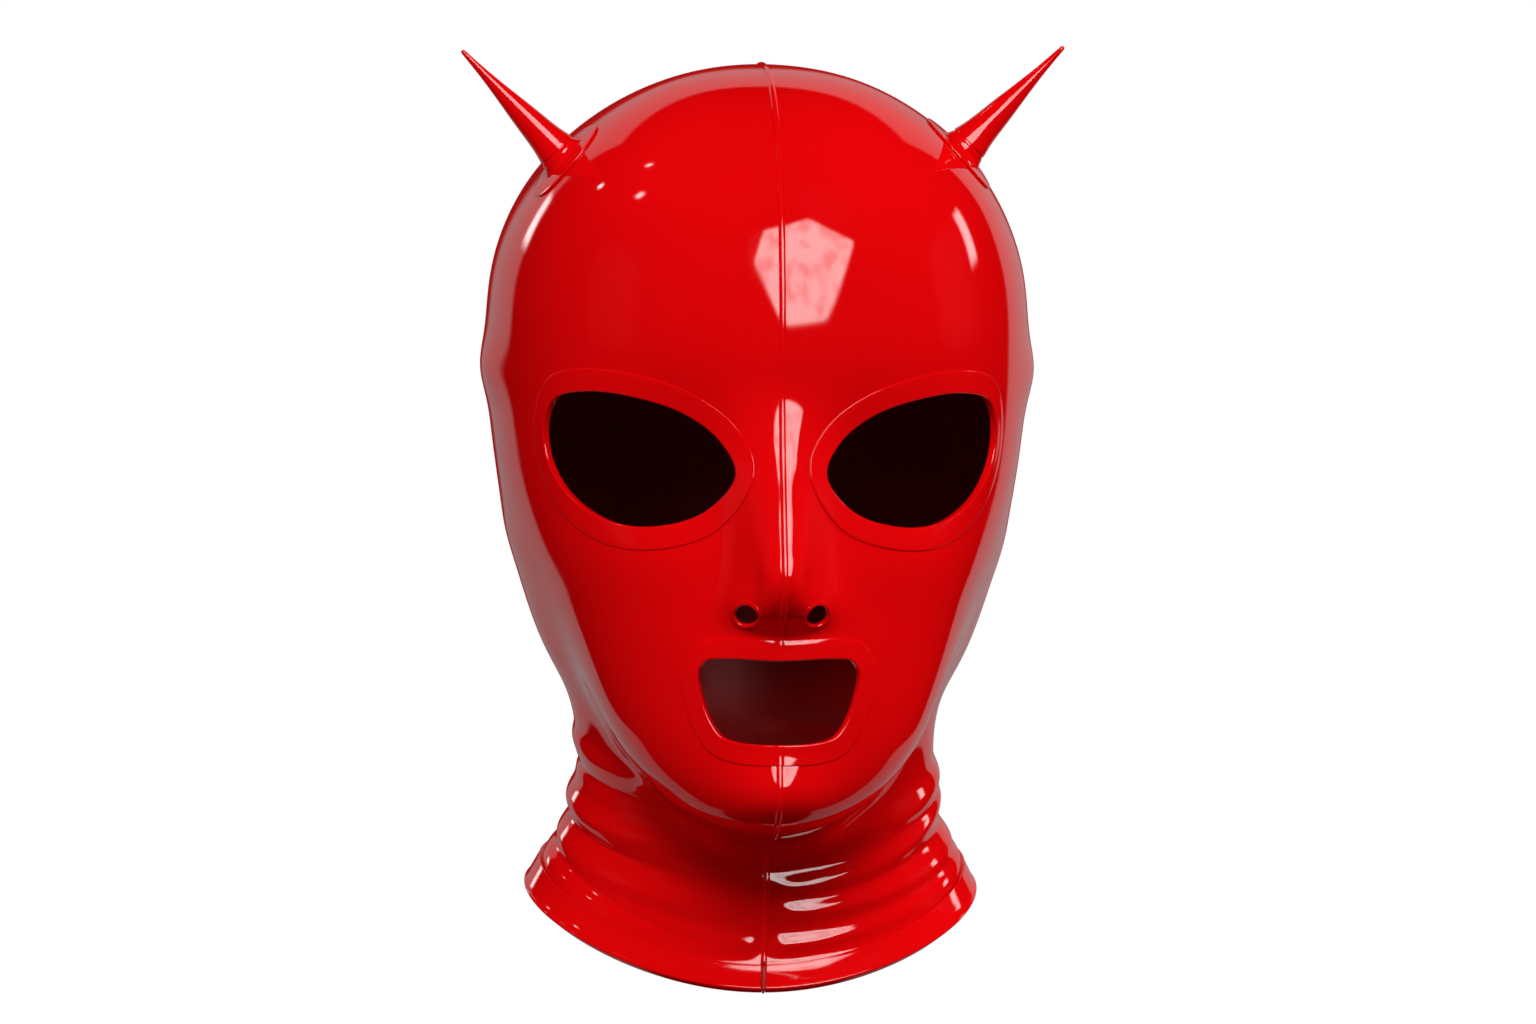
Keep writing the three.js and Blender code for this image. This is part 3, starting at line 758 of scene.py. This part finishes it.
def even_levels(low, high, count):
    """Levels at even distances up the hood."""
    return np.interp(np.linspace(*np.interp((low, high), LEVELS, DISTANCES), count), DISTANCES, LEVELS)


def add_bead(points, name, node):
    """Bead of the seam, dull and darkened with the painted shade of the inside where it faces the inside of
    the hood.
    """
    bm = bent_grid(points)
    bmesh.ops.recalc_face_normals(bm, faces=bm.faces[:])
    for face in bm.faces:
        if face.normal.dot(face.calc_center_median() - HOOD_MIDDLE) < 0:
            face.material_index = INSIDE
    add_piece(bm, name, "latex_trim", node)


class HOOD_OT_seams(bpy.types.Operator):
    """Add the raised bead along the middle, over the crown and down the chin"""

    bl_idname = "hood.add_seams"
    bl_label = "Seams"

    def execute(self, context):
        sizes = context.scene.hood_sizes
        ends = places_seen_from_front(MOUTH_HALF[[0, -1]])
        up = np.array([[0, 0, 1.0], [0, 0, -1.0]])
        rim_top, rim_foot = walk(*ends, up, sizes.mouth_rim_width)[1]
        back = even_levels(0, CROWN - POLE, SEAM_STATIONS)
        front = even_levels(rim_top, CROWN - POLE, SEAM_STATIONS)[::-1]
        angle = np.repeat((math.pi, 0), SEAM_STATIONS)
        points = seam_points(angle, np.concatenate([back, front]), sizes)
        add_bead(points, "crown_bead", "seam_crown")
        chin = even_levels(0, rim_foot, CHIN_STATIONS)
        points = seam_points(np.zeros(CHIN_STATIONS), chin, sizes)
        add_bead(points, "chin_bead", "seam_chin")
        return {"FINISHED"}


# Hem, whose upper edge lifts a little off the panels

HEM_COLUMNS = 300
HEM_WIDTH = 8.2 * MM
HEM_LIFT = 0.35 * MM
HEM_FREE = 0.6 * MM


def hem_section(height, roll, depth):
    """Section of the hem: its distance up from the neck edge and its height above the face."""
    low = -FOLD
    return [
        (HEM_WIDTH - HEM_FREE, GLUE),
        (HEM_WIDTH - HEM_FREE, HEM_LIFT),
        (HEM_WIDTH - OUTER_ROUND, HEM_LIFT),
        *arc((HEM_WIDTH - OUTER_ROUND, height - OUTER_ROUND), OUTER_ROUND, 0, 90),
        *((HEM_WIDTH * share, height) for share in (0.85, 0.7, 0.55, 0.4, 0.3)),
        (low + roll * 2.4, height - 0.1 * roll),
        *arc((low + roll, height - 0.6 * roll), roll, 55, 180, 9),
        (low, -depth / 2),
        *arc((low + OUTER_ROUND, OUTER_ROUND - depth), OUTER_ROUND, 180, 270),
        (-GLUE, -depth),
        (-GLUE, GLUE),
        (HEM_WIDTH / 2, GLUE),
    ]


def hem_points(side, sizes):
    """Points of half the hem, from the front seam round to the back seam."""
    even = np.linspace(0, math.pi, HEM_COLUMNS)
    angle = side * (even - FRONT_CROWDING * np.sin(even))
    rows = []
    for up, height in hem_section(sizes.hem_height, sizes.hem_roll, sizes.wall):
        level = np.full(HEM_COLUMNS, max(up, 0) / HEM_WIDTH * HEM_TOP)
        below = unit(face_rates(angle, level)[1]) * min(up, 0)
        points = off_face(angle, level, np.full(HEM_COLUMNS, height)) + below
        rows.append(beside_seam(points, level, side))
    rows.append(rows[0])
    return np.stack(rows)


class HOOD_OT_hem(bpy.types.Operator):
    """Add the two halves of the hem round the neck edge"""

    bl_idname = "hood.add_hem"
    bl_label = "Hem"

    def execute(self, context):
        for name, side in SIDES.items():
            bm = bent_grid(hem_points(side, context.scene.hood_sizes))
            add_piece(bm, f"neck_band_{name}", "latex_trim", f"hem_{name}")
        return {"FINISHED"}


# Horns and their patches

ROUND_STEPS = 72


def disc_points(centre, radius, height):
    """Points of a patch: its top from the middle out, its round edge and its underside."""
    edge = height / 2
    profile = [
        *((radius * share, height) for share in (0, 0.25, 0.5, 0.75, 0.9)),
        *arc((radius - edge, height - edge), edge, 90, -80, 8),
        *((radius * share, GLUE) for share in (0.8, 0.4, 0)),
    ]
    rows = []
    for out, rise in profile:
        angle, level = circle_places(centre, out, ROUND_STEPS)
        rows.append(off_face(angle, level, np.full(ROUND_STEPS, rise)))
    points = np.stack(rows)
    return np.concatenate([points, points[:, :1]], axis=1)


HORN_ROWS = 60
TIP_ROWS = 5
FOOT_ROWS = 8


def horn_profile():
    """Distances along the horn and radii there, from its collar to its rounded tip."""
    along = np.linspace(THORN["along"][0], THORN["along"][-1], HORN_ROWS)
    radius = spline(THORN["along"], THORN["radius"])(along)
    end = np.radians(np.linspace(0, 90, TIP_ROWS))[1:]
    tip_along = along[-1] + (HORN_TIP - along[-1]) * np.sin(end)
    tip_radius = radius[-1] * np.cos(end)
    return (np.concatenate([COLLAR["along"], along, tip_along]),
            np.concatenate([COLLAR["radius"], radius, tip_radius]))


def horn_points(name, foot_height):
    """Points of a horn: a foot that flares onto its patch, a collar with a step, and the thorn."""
    centre = HORN_PLACES[name]
    lean = unit(HORN_LEAN * (SIDES[name], 1, 1))
    place = np.array([centre[0]]), np.array([centre[1]])
    root = face_point(*place)[0]
    climb = face_rates(*place)[1][0]
    up = unit(climb - lean * dot(climb, lean))
    side = np.cross(up, lean)
    turn = np.linspace(0, 2 * math.pi, ROUND_STEPS, endpoint=False)[:, None]
    spokes = up * np.cos(turn) + side * np.sin(turn)
    rings = [root + lean * along * MM + spokes * radius * MM for along, radius in zip(*horn_profile())]
    angle, level = circle_places(centre, HORN_FOOT * MM, ROUND_STEPS)
    foot = off_face(angle, level, np.full(ROUND_STEPS, foot_height))
    middle = np.repeat(off_face(*place, np.array([foot_height])), ROUND_STEPS, axis=0)
    rise = rings[0] - foot
    rows = [middle, (middle + foot) / 2, foot]
    for share in np.linspace(0, 1, FOOT_ROWS)[1:-1]:
        inward = spokes * dot(rise, spokes)[:, None] * (1 - (1 - share) ** 2)
        rows.append(foot + inward + lean * dot(rise, lean)[:, None] * share)
    points = np.stack(rows + rings)
    return np.concatenate([points, points[:, :1]], axis=1)


class HOOD_OT_horn_patches(bpy.types.Operator):
    """Add the round patches under the horns"""

    bl_idname = "hood.add_horn_patches"
    bl_label = "Horn patches"

    def execute(self, context):
        sizes = context.scene.hood_sizes
        for name in SIDES:
            bm = bent_grid(disc_points(HORN_PLACES[name], sizes.patch_radius, sizes.patch_height))
            add_piece(bm, f"horn_disc_{name}", "latex_trim", f"horn_patch_{name}")
        return {"FINISHED"}


class HOOD_OT_horns(bpy.types.Operator):
    """Add the two thorn-shaped horns"""

    bl_idname = "hood.add_horns"
    bl_label = "Horns"

    def execute(self, context):
        for name in SIDES:
            bm = bent_grid(horn_points(name, context.scene.hood_sizes.patch_height + GLUE))
            add_piece(bm, f"latex_thorn_{name}", "horn_latex", f"horn_{name}")
        return {"FINISHED"}


# Finishes


class Wire:
    """Output of a shader node, with the arithmetic that finishes are written in."""

    def __init__(self, tree, socket):
        self.tree = tree
        self.socket = socket

    def math(self, operation, *values):
        """One Math node on values and wires."""
        sockets = dict(enumerate(values))
        return self.tree.node("ShaderNodeMath", {"operation": operation}, sockets)[0]

    def __add__(self, other):
        return self.math("ADD", self, other)

    def __radd__(self, other):
        return self.math("ADD", other, self)

    def __sub__(self, other):
        return self.math("SUBTRACT", self, other)

    def __rsub__(self, other):
        return self.math("SUBTRACT", other, self)

    def __mul__(self, other):
        return self.math("MULTIPLY", self, other)

    def __rmul__(self, other):
        return self.math("MULTIPLY", other, self)

    def size(self):
        """The value without its sign."""
        return self.math("ABSOLUTE", self)

    def smooth(self, low, high):
        """0 below low, 1 above high, and a soft rise between them."""
        settings = {"interpolation_type": "SMOOTHSTEP"}
        sockets = {"Value": self, "From Min": low, "From Max": high}
        return self.tree.node("ShaderNodeMapRange", settings, sockets)["Result"]


class Outputs:
    """Outputs of one node by name or number, as wires."""

    def __init__(self, tree, node):
        self.tree = tree
        self.node = node

    def __getitem__(self, key):
        return Wire(self.tree, self.node.outputs[key])


class Tree:
    """Node tree of a material or the surroundings, emptied for new nodes."""

    def __init__(self, owner):
        owner.use_nodes = True
        self.tree = owner.node_tree
        self.tree.nodes.clear()

    def node(self, kind, settings=None, sockets=None):
        """New node with its settings, then the values or wires of its sockets."""
        node = self.tree.nodes.new(kind)
        for name, value in (settings or {}).items():
            setattr(node, name, value)
        for key, value in (sockets or {}).items():
            if isinstance(value, Wire):
                self.tree.links.new(value.socket, node.inputs[key])
            else:
                node.inputs[key].default_value = value
        return Outputs(self, node)

    def noise(self, coords, scale, detail):
        """Soft random value over an object's own coordinates."""
        sockets = {"Vector": coords, "Scale": scale, "Detail": detail}
        return self.node("ShaderNodeTexNoise", {"noise_dimensions": "3D"}, sockets)["Fac"]


# Patterns in the latex: the scale and detail of each noise, and the part of its range that is used
THIN_SPOTS = {"noise": (11.0, 2.0), "range": (0.35, 0.65)}
SMEARS = {"noise": (46.0, 4.0), "range": (0.45, 0.8), "roughness": 0.04}
RIPPLES = {"noise": (30.0, 1.0)}
LATEX_IOR = 1.52


def latex_finish(material, colour, roughness, depth, ripple):
    """Latex: where it is drawn thin its red is lighter, and smears dull its shine a little."""
    tree = Tree(material)
    coords = tree.node("ShaderNodeTexCoord")["Object"]
    thin = tree.noise(coords, *THIN_SPOTS["noise"]).smooth(*THIN_SPOTS["range"])
    smear = tree.noise(coords, *SMEARS["noise"]).smooth(*SMEARS["range"])
    deep = (*(channel * (1 - depth) for channel in colour), 1)
    mixed = tree.node("ShaderNodeMix", {"data_type": "RGBA"}, {0: thin, 6: deep, 7: (*colour, 1)})[2]
    height = tree.noise(coords, *RIPPLES["noise"]) * ripple
    normal = tree.node("ShaderNodeBump", None, {"Strength": 1.0, "Distance": 1.0, "Height": height})
    shader = tree.node("ShaderNodeBsdfPrincipled", None, {
        "Base Color": mixed,
        "Roughness": roughness + smear * SMEARS["roughness"],
        "IOR": LATEX_IOR,
        "Normal": normal["Normal"],
    })
    tree.node("ShaderNodeOutputMaterial", None, {"Surface": shader["BSDF"]})


# Each finish: the properties with its colour and its roughness, how much rougher than that it is, how
# much deeper its red is where it is thick, and the height of its ripples in metres
LATEXES = {
    "latex_sheet": ("panel_colour", "gloss", 0, 0.08, 1.2e-4),
    # The inside finish carries the darker red that is painted shade
    "latex_inside_shaded": ("inside_colour", "inside_roughness", 0, 0.15, 0.6e-4),
    "latex_strip": ("trim_colour", "gloss", 0.01, 0.05, 0.6e-4),
    "moulded_latex": ("horn_colour", "gloss", -0.02, 0.06, 0.2e-4),
}


def finish_named(name):
    """Material of a finish, made when it is first asked for."""
    found = bpy.data.materials.get(name)
    if found:
        return found
    looks = bpy.context.scene.hood_looks
    colour_name, roughness_name, rougher, depth, ripple = LATEXES[name]
    roughness = getattr(looks, roughness_name) + rougher
    material = bpy.data.materials.new(name)
    latex_finish(material, getattr(looks, colour_name), roughness, depth, ripple)
    return material


# Finishes of each slot, outside and inside
FINISHES = {
    "latex": ("latex_sheet", "latex_inside_shaded"),
    "latex_trim": ("latex_strip", "latex_inside_shaded"),
    "horn_latex": ("moulded_latex",),
}


# Stage

# Camera: the turn to the right of the face, its height angle, how far it stands from the middle of the
# hood, its tilt, and how far that middle stands from the middle of the picture
CAMERA_TURN = math.radians(3.75)
CAMERA_RISE = math.radians(6)
CAMERA_TILT = math.radians(0.6)
CAMERA_DISTANCE = 1.5
CAMERA_TARGET = Vector((0, 0, -0.128))
PICTURE_WIDTH = 1536
PIXELS_PER_METRE = 3510
MIDDLE_LEFT = 11
MIDDLE_DOWN = 7.2
FILM = 36

# What the latex mirrors. Directions are given in degrees: the turn from the front towards the left, and
# the height. The window has corners, and the soft boxes have half their width and height, the softness
# of their edges and their brightness.
WINDOW = np.array([(-6, 46), (-11, 32), (6, 13), (27, 14), (48, 35), (25, 51)])
WINDOW_EDGE = 1.2
WINDOW_LIGHT = 9
CLOUDS = {"noise": (7.0, 2.0), "range": (0.42, 0.62), "share": 0.4}
SOFT_BOXES = table("at turn rise half_turn half_rise edge light", [
    ("left strip", 120, 15, 3, 6, 1.2, 4.5),
    ("right strip", -148.5, 10, 2.2, 4, 1.2, 3.5),
    ("lamp 1", -97, 44, 1.6, 1.6, 1.2, 14),
    ("lamp 2", -121, 52, 1, 1, 0.8, 14),
    ("lamp 3", -124, 33, 1, 1, 0.8, 14),
])

# White sheet behind the hood, in degrees: the turn from straight behind to its middle and on to its
# edges, how much wider it is below a height, its foot and its top, and its brightness, which grows with
# the height. Its middle lies in the shade of the hood and mirrors its red.
SHEET = {"middle": 2, "half": 35, "wider": 20, "wide_below": -25, "wide_above": -16, "foot": -50, "top": 37}
SHEET_EDGE = 1.2
SHEET_LIGHT = 0.34
SHEET_GAIN = 0.002
SHADE = {"edge": 0.972, "soft": 0.012, "light": 0.3, "colour": (1, 0.03, 0.03, 1)}


def window_light(turn, rise):
    """Brightness of the window in a direction: inside all of its edges."""
    light = WINDOW_LIGHT
    for a, b in zip(WINDOW, np.roll(WINDOW, -1, axis=0)):
        along = (b - a) / np.linalg.norm(b - a)
        inward = (turn - float(a[0])) * float(-along[1]) + (rise - float(a[1])) * float(along[0])
        light = inward.smooth(-WINDOW_EDGE, WINDOW_EDGE) * light
    return light


def soft_box_light(turn, rise):
    """Brightness of the soft boxes in a direction."""
    total = 0
    for box in rows_of(SOFT_BOXES):
        aside = (turn - box["turn"]).size()
        above = (rise - box["rise"]).size()
        wide = 1 - aside.smooth(box["half_turn"] - box["edge"], box["half_turn"] + box["edge"])
        tall = 1 - above.smooth(box["half_rise"] - box["edge"], box["half_rise"] + box["edge"])
        total = wide * tall * box["light"] + total
    return total


def sheet_light(back_turn, rise):
    """Brightness of the white sheet in a direction."""
    wide = 1 - rise.smooth(SHEET["wide_below"], SHEET["wide_above"])
    inward = wide * SHEET["wider"] + SHEET["half"] - (back_turn - SHEET["middle"]).size()
    sides = inward.smooth(-SHEET_EDGE, SHEET_EDGE)
    foot = rise.smooth(SHEET["foot"] - SHEET_EDGE, SHEET["foot"] + SHEET_EDGE)
    top = 1 - rise.smooth(SHEET["top"] - SHEET_EDGE, SHEET["top"] + SHEET_EDGE)
    return sides * foot * top * (rise * SHEET_GAIN + SHEET_LIGHT)


def surroundings(looks):
    """White room for the picture, dim soft light, and a dark studio that the latex mirrors."""
    world = bpy.data.worlds.new("studio")
    bpy.context.scene.world = world
    tree = Tree(world)
    direction = tree.node("ShaderNodeTexCoord")["Generated"]
    axes = tree.node("ShaderNodeSeparateXYZ", None, {"Vector": direction})
    x, y, z = axes["X"], axes["Y"], axes["Z"]
    degrees = 180 / math.pi
    turn = x.math("ARCTAN2", x, y * -1) * degrees
    rise = z.math("ARCSINE", z) * degrees
    back_turn = x.math("ARCTAN2", x, y) * degrees
    clouds = tree.noise(direction, *CLOUDS["noise"]).smooth(*CLOUDS["range"]) * CLOUDS["share"]
    window = window_light(turn, rise) * (1 - clouds)
    lights = window + soft_box_light(turn, rise) + sheet_light(back_turn, rise)
    shade = y.smooth(SHADE["edge"] - SHADE["soft"], SHADE["edge"] + SHADE["soft"])
    mirrored_light = lights * (1 - shade) + shade * SHADE["light"]
    colours = {0: shade, 6: (1, 1, 1, 1), 7: SHADE["colour"]}
    tint = tree.node("ShaderNodeMix", {"data_type": "RGBA"}, colours)[2]
    white = tree.node("ShaderNodeBackground", None, {"Color": (*looks.floor_colour, 1), "Strength": 1.0})
    soft = tree.node("ShaderNodeBackground", None, {"Color": (1, 1, 1, 1), "Strength": SOFT_LIGHT})
    studio = tree.node("ShaderNodeBackground", None, {"Color": tint, "Strength": mirrored_light})
    path = tree.node("ShaderNodeLightPath")
    lit = tree.node("ShaderNodeMixShader", None, {
        0: path["Is Glossy Ray"], 1: soft["Background"], 2: studio["Background"],
    })
    seen = tree.node("ShaderNodeMixShader", None, {
        0: path["Is Camera Ray"], 1: lit["Shader"], 2: white["Background"],
    })
    tree.node("ShaderNodeOutputWorld", None, {"Surface": seen["Shader"]})


FLOOR_DROP = 0.1
FLOOR_RADIUS = 4
FLOOR_SIDES = 96

# Light that the latex scatters: how bright it is all round, and the lights' places, sizes and powers
SOFT_LIGHT = 0.2
FILL_LIGHTS = {
    "front_light": ((-0.1, -2, 1.35), 0.8, 54),
    "upper_light": ((0.8, -0.9, 1.8), 1.0, 10),
    "left_light": ((2.2, 0.5, 0.3), 1.0, 42),
    "right_light": ((-2.2, -0.2, 0.3), 1.0, 15),
}


def add_floor(looks):
    """Pale floor well below the hood."""
    bm = bmesh.new()
    place = Matrix.Translation((0, 0, CAD_BOX[0][2] - FLOOR_DROP))
    bmesh.ops.create_circle(bm, cap_ends=True, segments=FLOOR_SIDES, radius=FLOOR_RADIUS, matrix=place)
    mesh = bpy.data.meshes.new("floor")
    bm.to_mesh(mesh)
    bm.free()
    floor = bpy.data.objects.new("floor", mesh)
    bpy.context.scene.collection.objects.link(floor)
    floor.visible_glossy = False
    floor.visible_diffuse = False
    material = bpy.data.materials.new("pale_floor")
    tree = Tree(material)
    shader = tree.node("ShaderNodeEmission", None, {"Color": (*looks.floor_colour, 1), "Strength": 1.0})
    tree.node("ShaderNodeOutputMaterial", None, {"Surface": shader["Emission"]})
    mesh.materials.append(material)


def add_camera():
    """Camera where the photograph was taken from."""
    right = Vector((math.cos(CAMERA_TURN), -math.sin(CAMERA_TURN), 0))
    front = Vector((-math.sin(CAMERA_TURN), -math.cos(CAMERA_TURN), 0))
    towards = front * math.cos(CAMERA_RISE) + Vector((0, 0, math.sin(CAMERA_RISE)))
    up = towards.cross(right)
    tilted_right = right * math.cos(CAMERA_TILT) + up * math.sin(CAMERA_TILT)
    tilted_up = up * math.cos(CAMERA_TILT) - right * math.sin(CAMERA_TILT)
    data = bpy.data.cameras.new("camera")
    data.sensor_width = FILM
    data.lens = FILM * PIXELS_PER_METRE * CAMERA_DISTANCE / PICTURE_WIDTH
    data.shift_x = MIDDLE_LEFT / PICTURE_WIDTH
    data.shift_y = MIDDLE_DOWN / PICTURE_WIDTH
    camera = bpy.data.objects.new("camera", data)
    turned = Matrix((tilted_right, tilted_up, towards)).transposed().to_4x4()
    camera.matrix_world = Matrix.Translation(CAMERA_TARGET + towards * CAMERA_DISTANCE) @ turned
    bpy.context.scene.collection.objects.link(camera)
    bpy.context.scene.camera = camera


def add_fill_lights():
    """Soft light on the front, which the latex doesn't mirror."""
    for name, (place, size, power) in FILL_LIGHTS.items():
        data = bpy.data.lights.new(name, "AREA")
        data.size = size
        data.energy = power
        light = bpy.data.objects.new(name, data)
        light.location = place
        light.rotation_euler = (CAMERA_TARGET - light.location).to_track_quat("-Z", "Y").to_euler()
        light.visible_glossy = False
        bpy.context.scene.collection.objects.link(light)


class HOOD_OT_stage(bpy.types.Operator):
    """Add the pale floor, the studio light and the camera"""

    bl_idname = "hood.add_stage"
    bl_label = "Stage"

    def execute(self, context):
        looks = context.scene.hood_looks
        add_floor(looks)
        surroundings(looks)
        add_fill_lights()
        add_camera()
        context.scene.view_settings.view_transform = "Standard"
        return {"FINISHED"}


# Add-on


def length(name, description, default):
    """Property for a length in metres."""
    return FloatProperty(
        name=name, description=description, default=default, min=0, precision=5, unit="LENGTH")


def colour(name, description, default):
    """Property for a colour."""
    return FloatVectorProperty(
        name=name, description=description, default=default, size=3, min=0, max=1, subtype="COLOR")


class HoodSizes(bpy.types.PropertyGroup):
    """Sizes of the hood's pieces"""

    wall: length("Wall", "Thickness of the latex panels", 1.2 * MM)
    rim_height: length("Rim height", "How far the rims stand above the panels at the openings", 0.75 * MM)
    rim_edge: length("Rim edge", "Thickness of the rims at their outer edge", 0.42 * MM)
    eye_rim_width: length("Eye rim width", "Width of the bands round the eyes", 6.3 * MM)
    mouth_rim_width: length("Mouth rim width", "Width of the band round the mouth", 5.7 * MM)
    lip_width: length("Nostril lip width", "Width of the rolled edge of a nostril", 1.4 * MM)
    lip_height: length("Nostril lip height", "Height of the rolled edge of a nostril", 0.5 * MM)
    seam_width: length("Seam width", "Width of the bead along the middle", 1.8 * MM)
    seam_height: length("Seam height", "Height of the bead along the middle", 0.6 * MM)
    hem_height: length("Hem height", "How far the hem stands above the panels", 1 * MM)
    hem_roll: length("Hem roll", "Radius of the rolled lower edge of the hem", 0.6 * MM)
    patch_radius: length("Patch radius", "Radius of the patches under the horns", 13 * MM)
    patch_height: length("Patch height", "How far the patches stand above the panels", 0.6 * MM)


class HoodLooks(bpy.types.PropertyGroup):
    """Colours and shine of the hood and its stage"""

    panel_colour: colour("Panels", "Colour of the latex panels", RED)
    trim_colour: colour("Trim", "Colour of the seams, rims, hem and patches", RED)
    horn_colour: colour("Horns", "Colour of the horns", RED)
    # The inside's red is darkened as painted shade
    inside_colour: colour("Inside", "Colour of the inside of the panels", SHADED_INSIDE_RED)
    floor_colour: colour("Floor", "Colour of the floor and the room", (1, 1, 1))
    gloss: FloatProperty(
        name="Roughness", description="Roughness of the polished latex",
        default=0.05, min=0, max=1, subtype="FACTOR")
    inside_roughness: FloatProperty(
        name="Inside roughness", description="Roughness of the dull inside of the panels",
        default=0.5, min=0, max=1, subtype="FACTOR")


class HOOD_PT_sidebar(bpy.types.Panel):
    """Tools that build the hood"""

    bl_idname = "HOOD_PT_sidebar"
    bl_label = "Latex devil hood"
    bl_space_type = "VIEW_3D"
    bl_region_type = "UI"
    bl_category = "Hood"

    def draw(self, context):
        for group in (context.scene.hood_sizes, context.scene.hood_looks):
            box = self.layout.box()
            for name in group.__annotations__:
                box.prop(group, name)
        for operator in OPERATORS:
            self.layout.operator(operator.bl_idname)


OPERATORS = (
    HOOD_OT_stage,
    HOOD_OT_panels,
    HOOD_OT_rims,
    HOOD_OT_seams,
    HOOD_OT_hem,
    HOOD_OT_horn_patches,
    HOOD_OT_horns,
)
CLASSES = (HoodSizes, HoodLooks, *OPERATORS, HOOD_PT_sidebar)


def register():
    """Adds the classes and the scene's hood properties to Blender."""
    for item in CLASSES:
        bpy.utils.register_class(item)
    bpy.types.Scene.hood_sizes = PointerProperty(type=HoodSizes)
    bpy.types.Scene.hood_looks = PointerProperty(type=HoodLooks)


def unregister():
    """Takes them away again."""
    del bpy.types.Scene.hood_looks
    del bpy.types.Scene.hood_sizes
    for item in reversed(CLASSES):
        bpy.utils.unregister_class(item)


def main():
    """Builds the whole hood on its stage."""
    register()
    bpy.ops.hood.add_stage()
    bpy.ops.hood.add_panels()
    bpy.ops.hood.add_rims()
    bpy.ops.hood.add_seams()
    bpy.ops.hood.add_hem()
    bpy.ops.hood.add_horn_patches()
    bpy.ops.hood.add_horns()


if __name__ == "__main__":
    main()
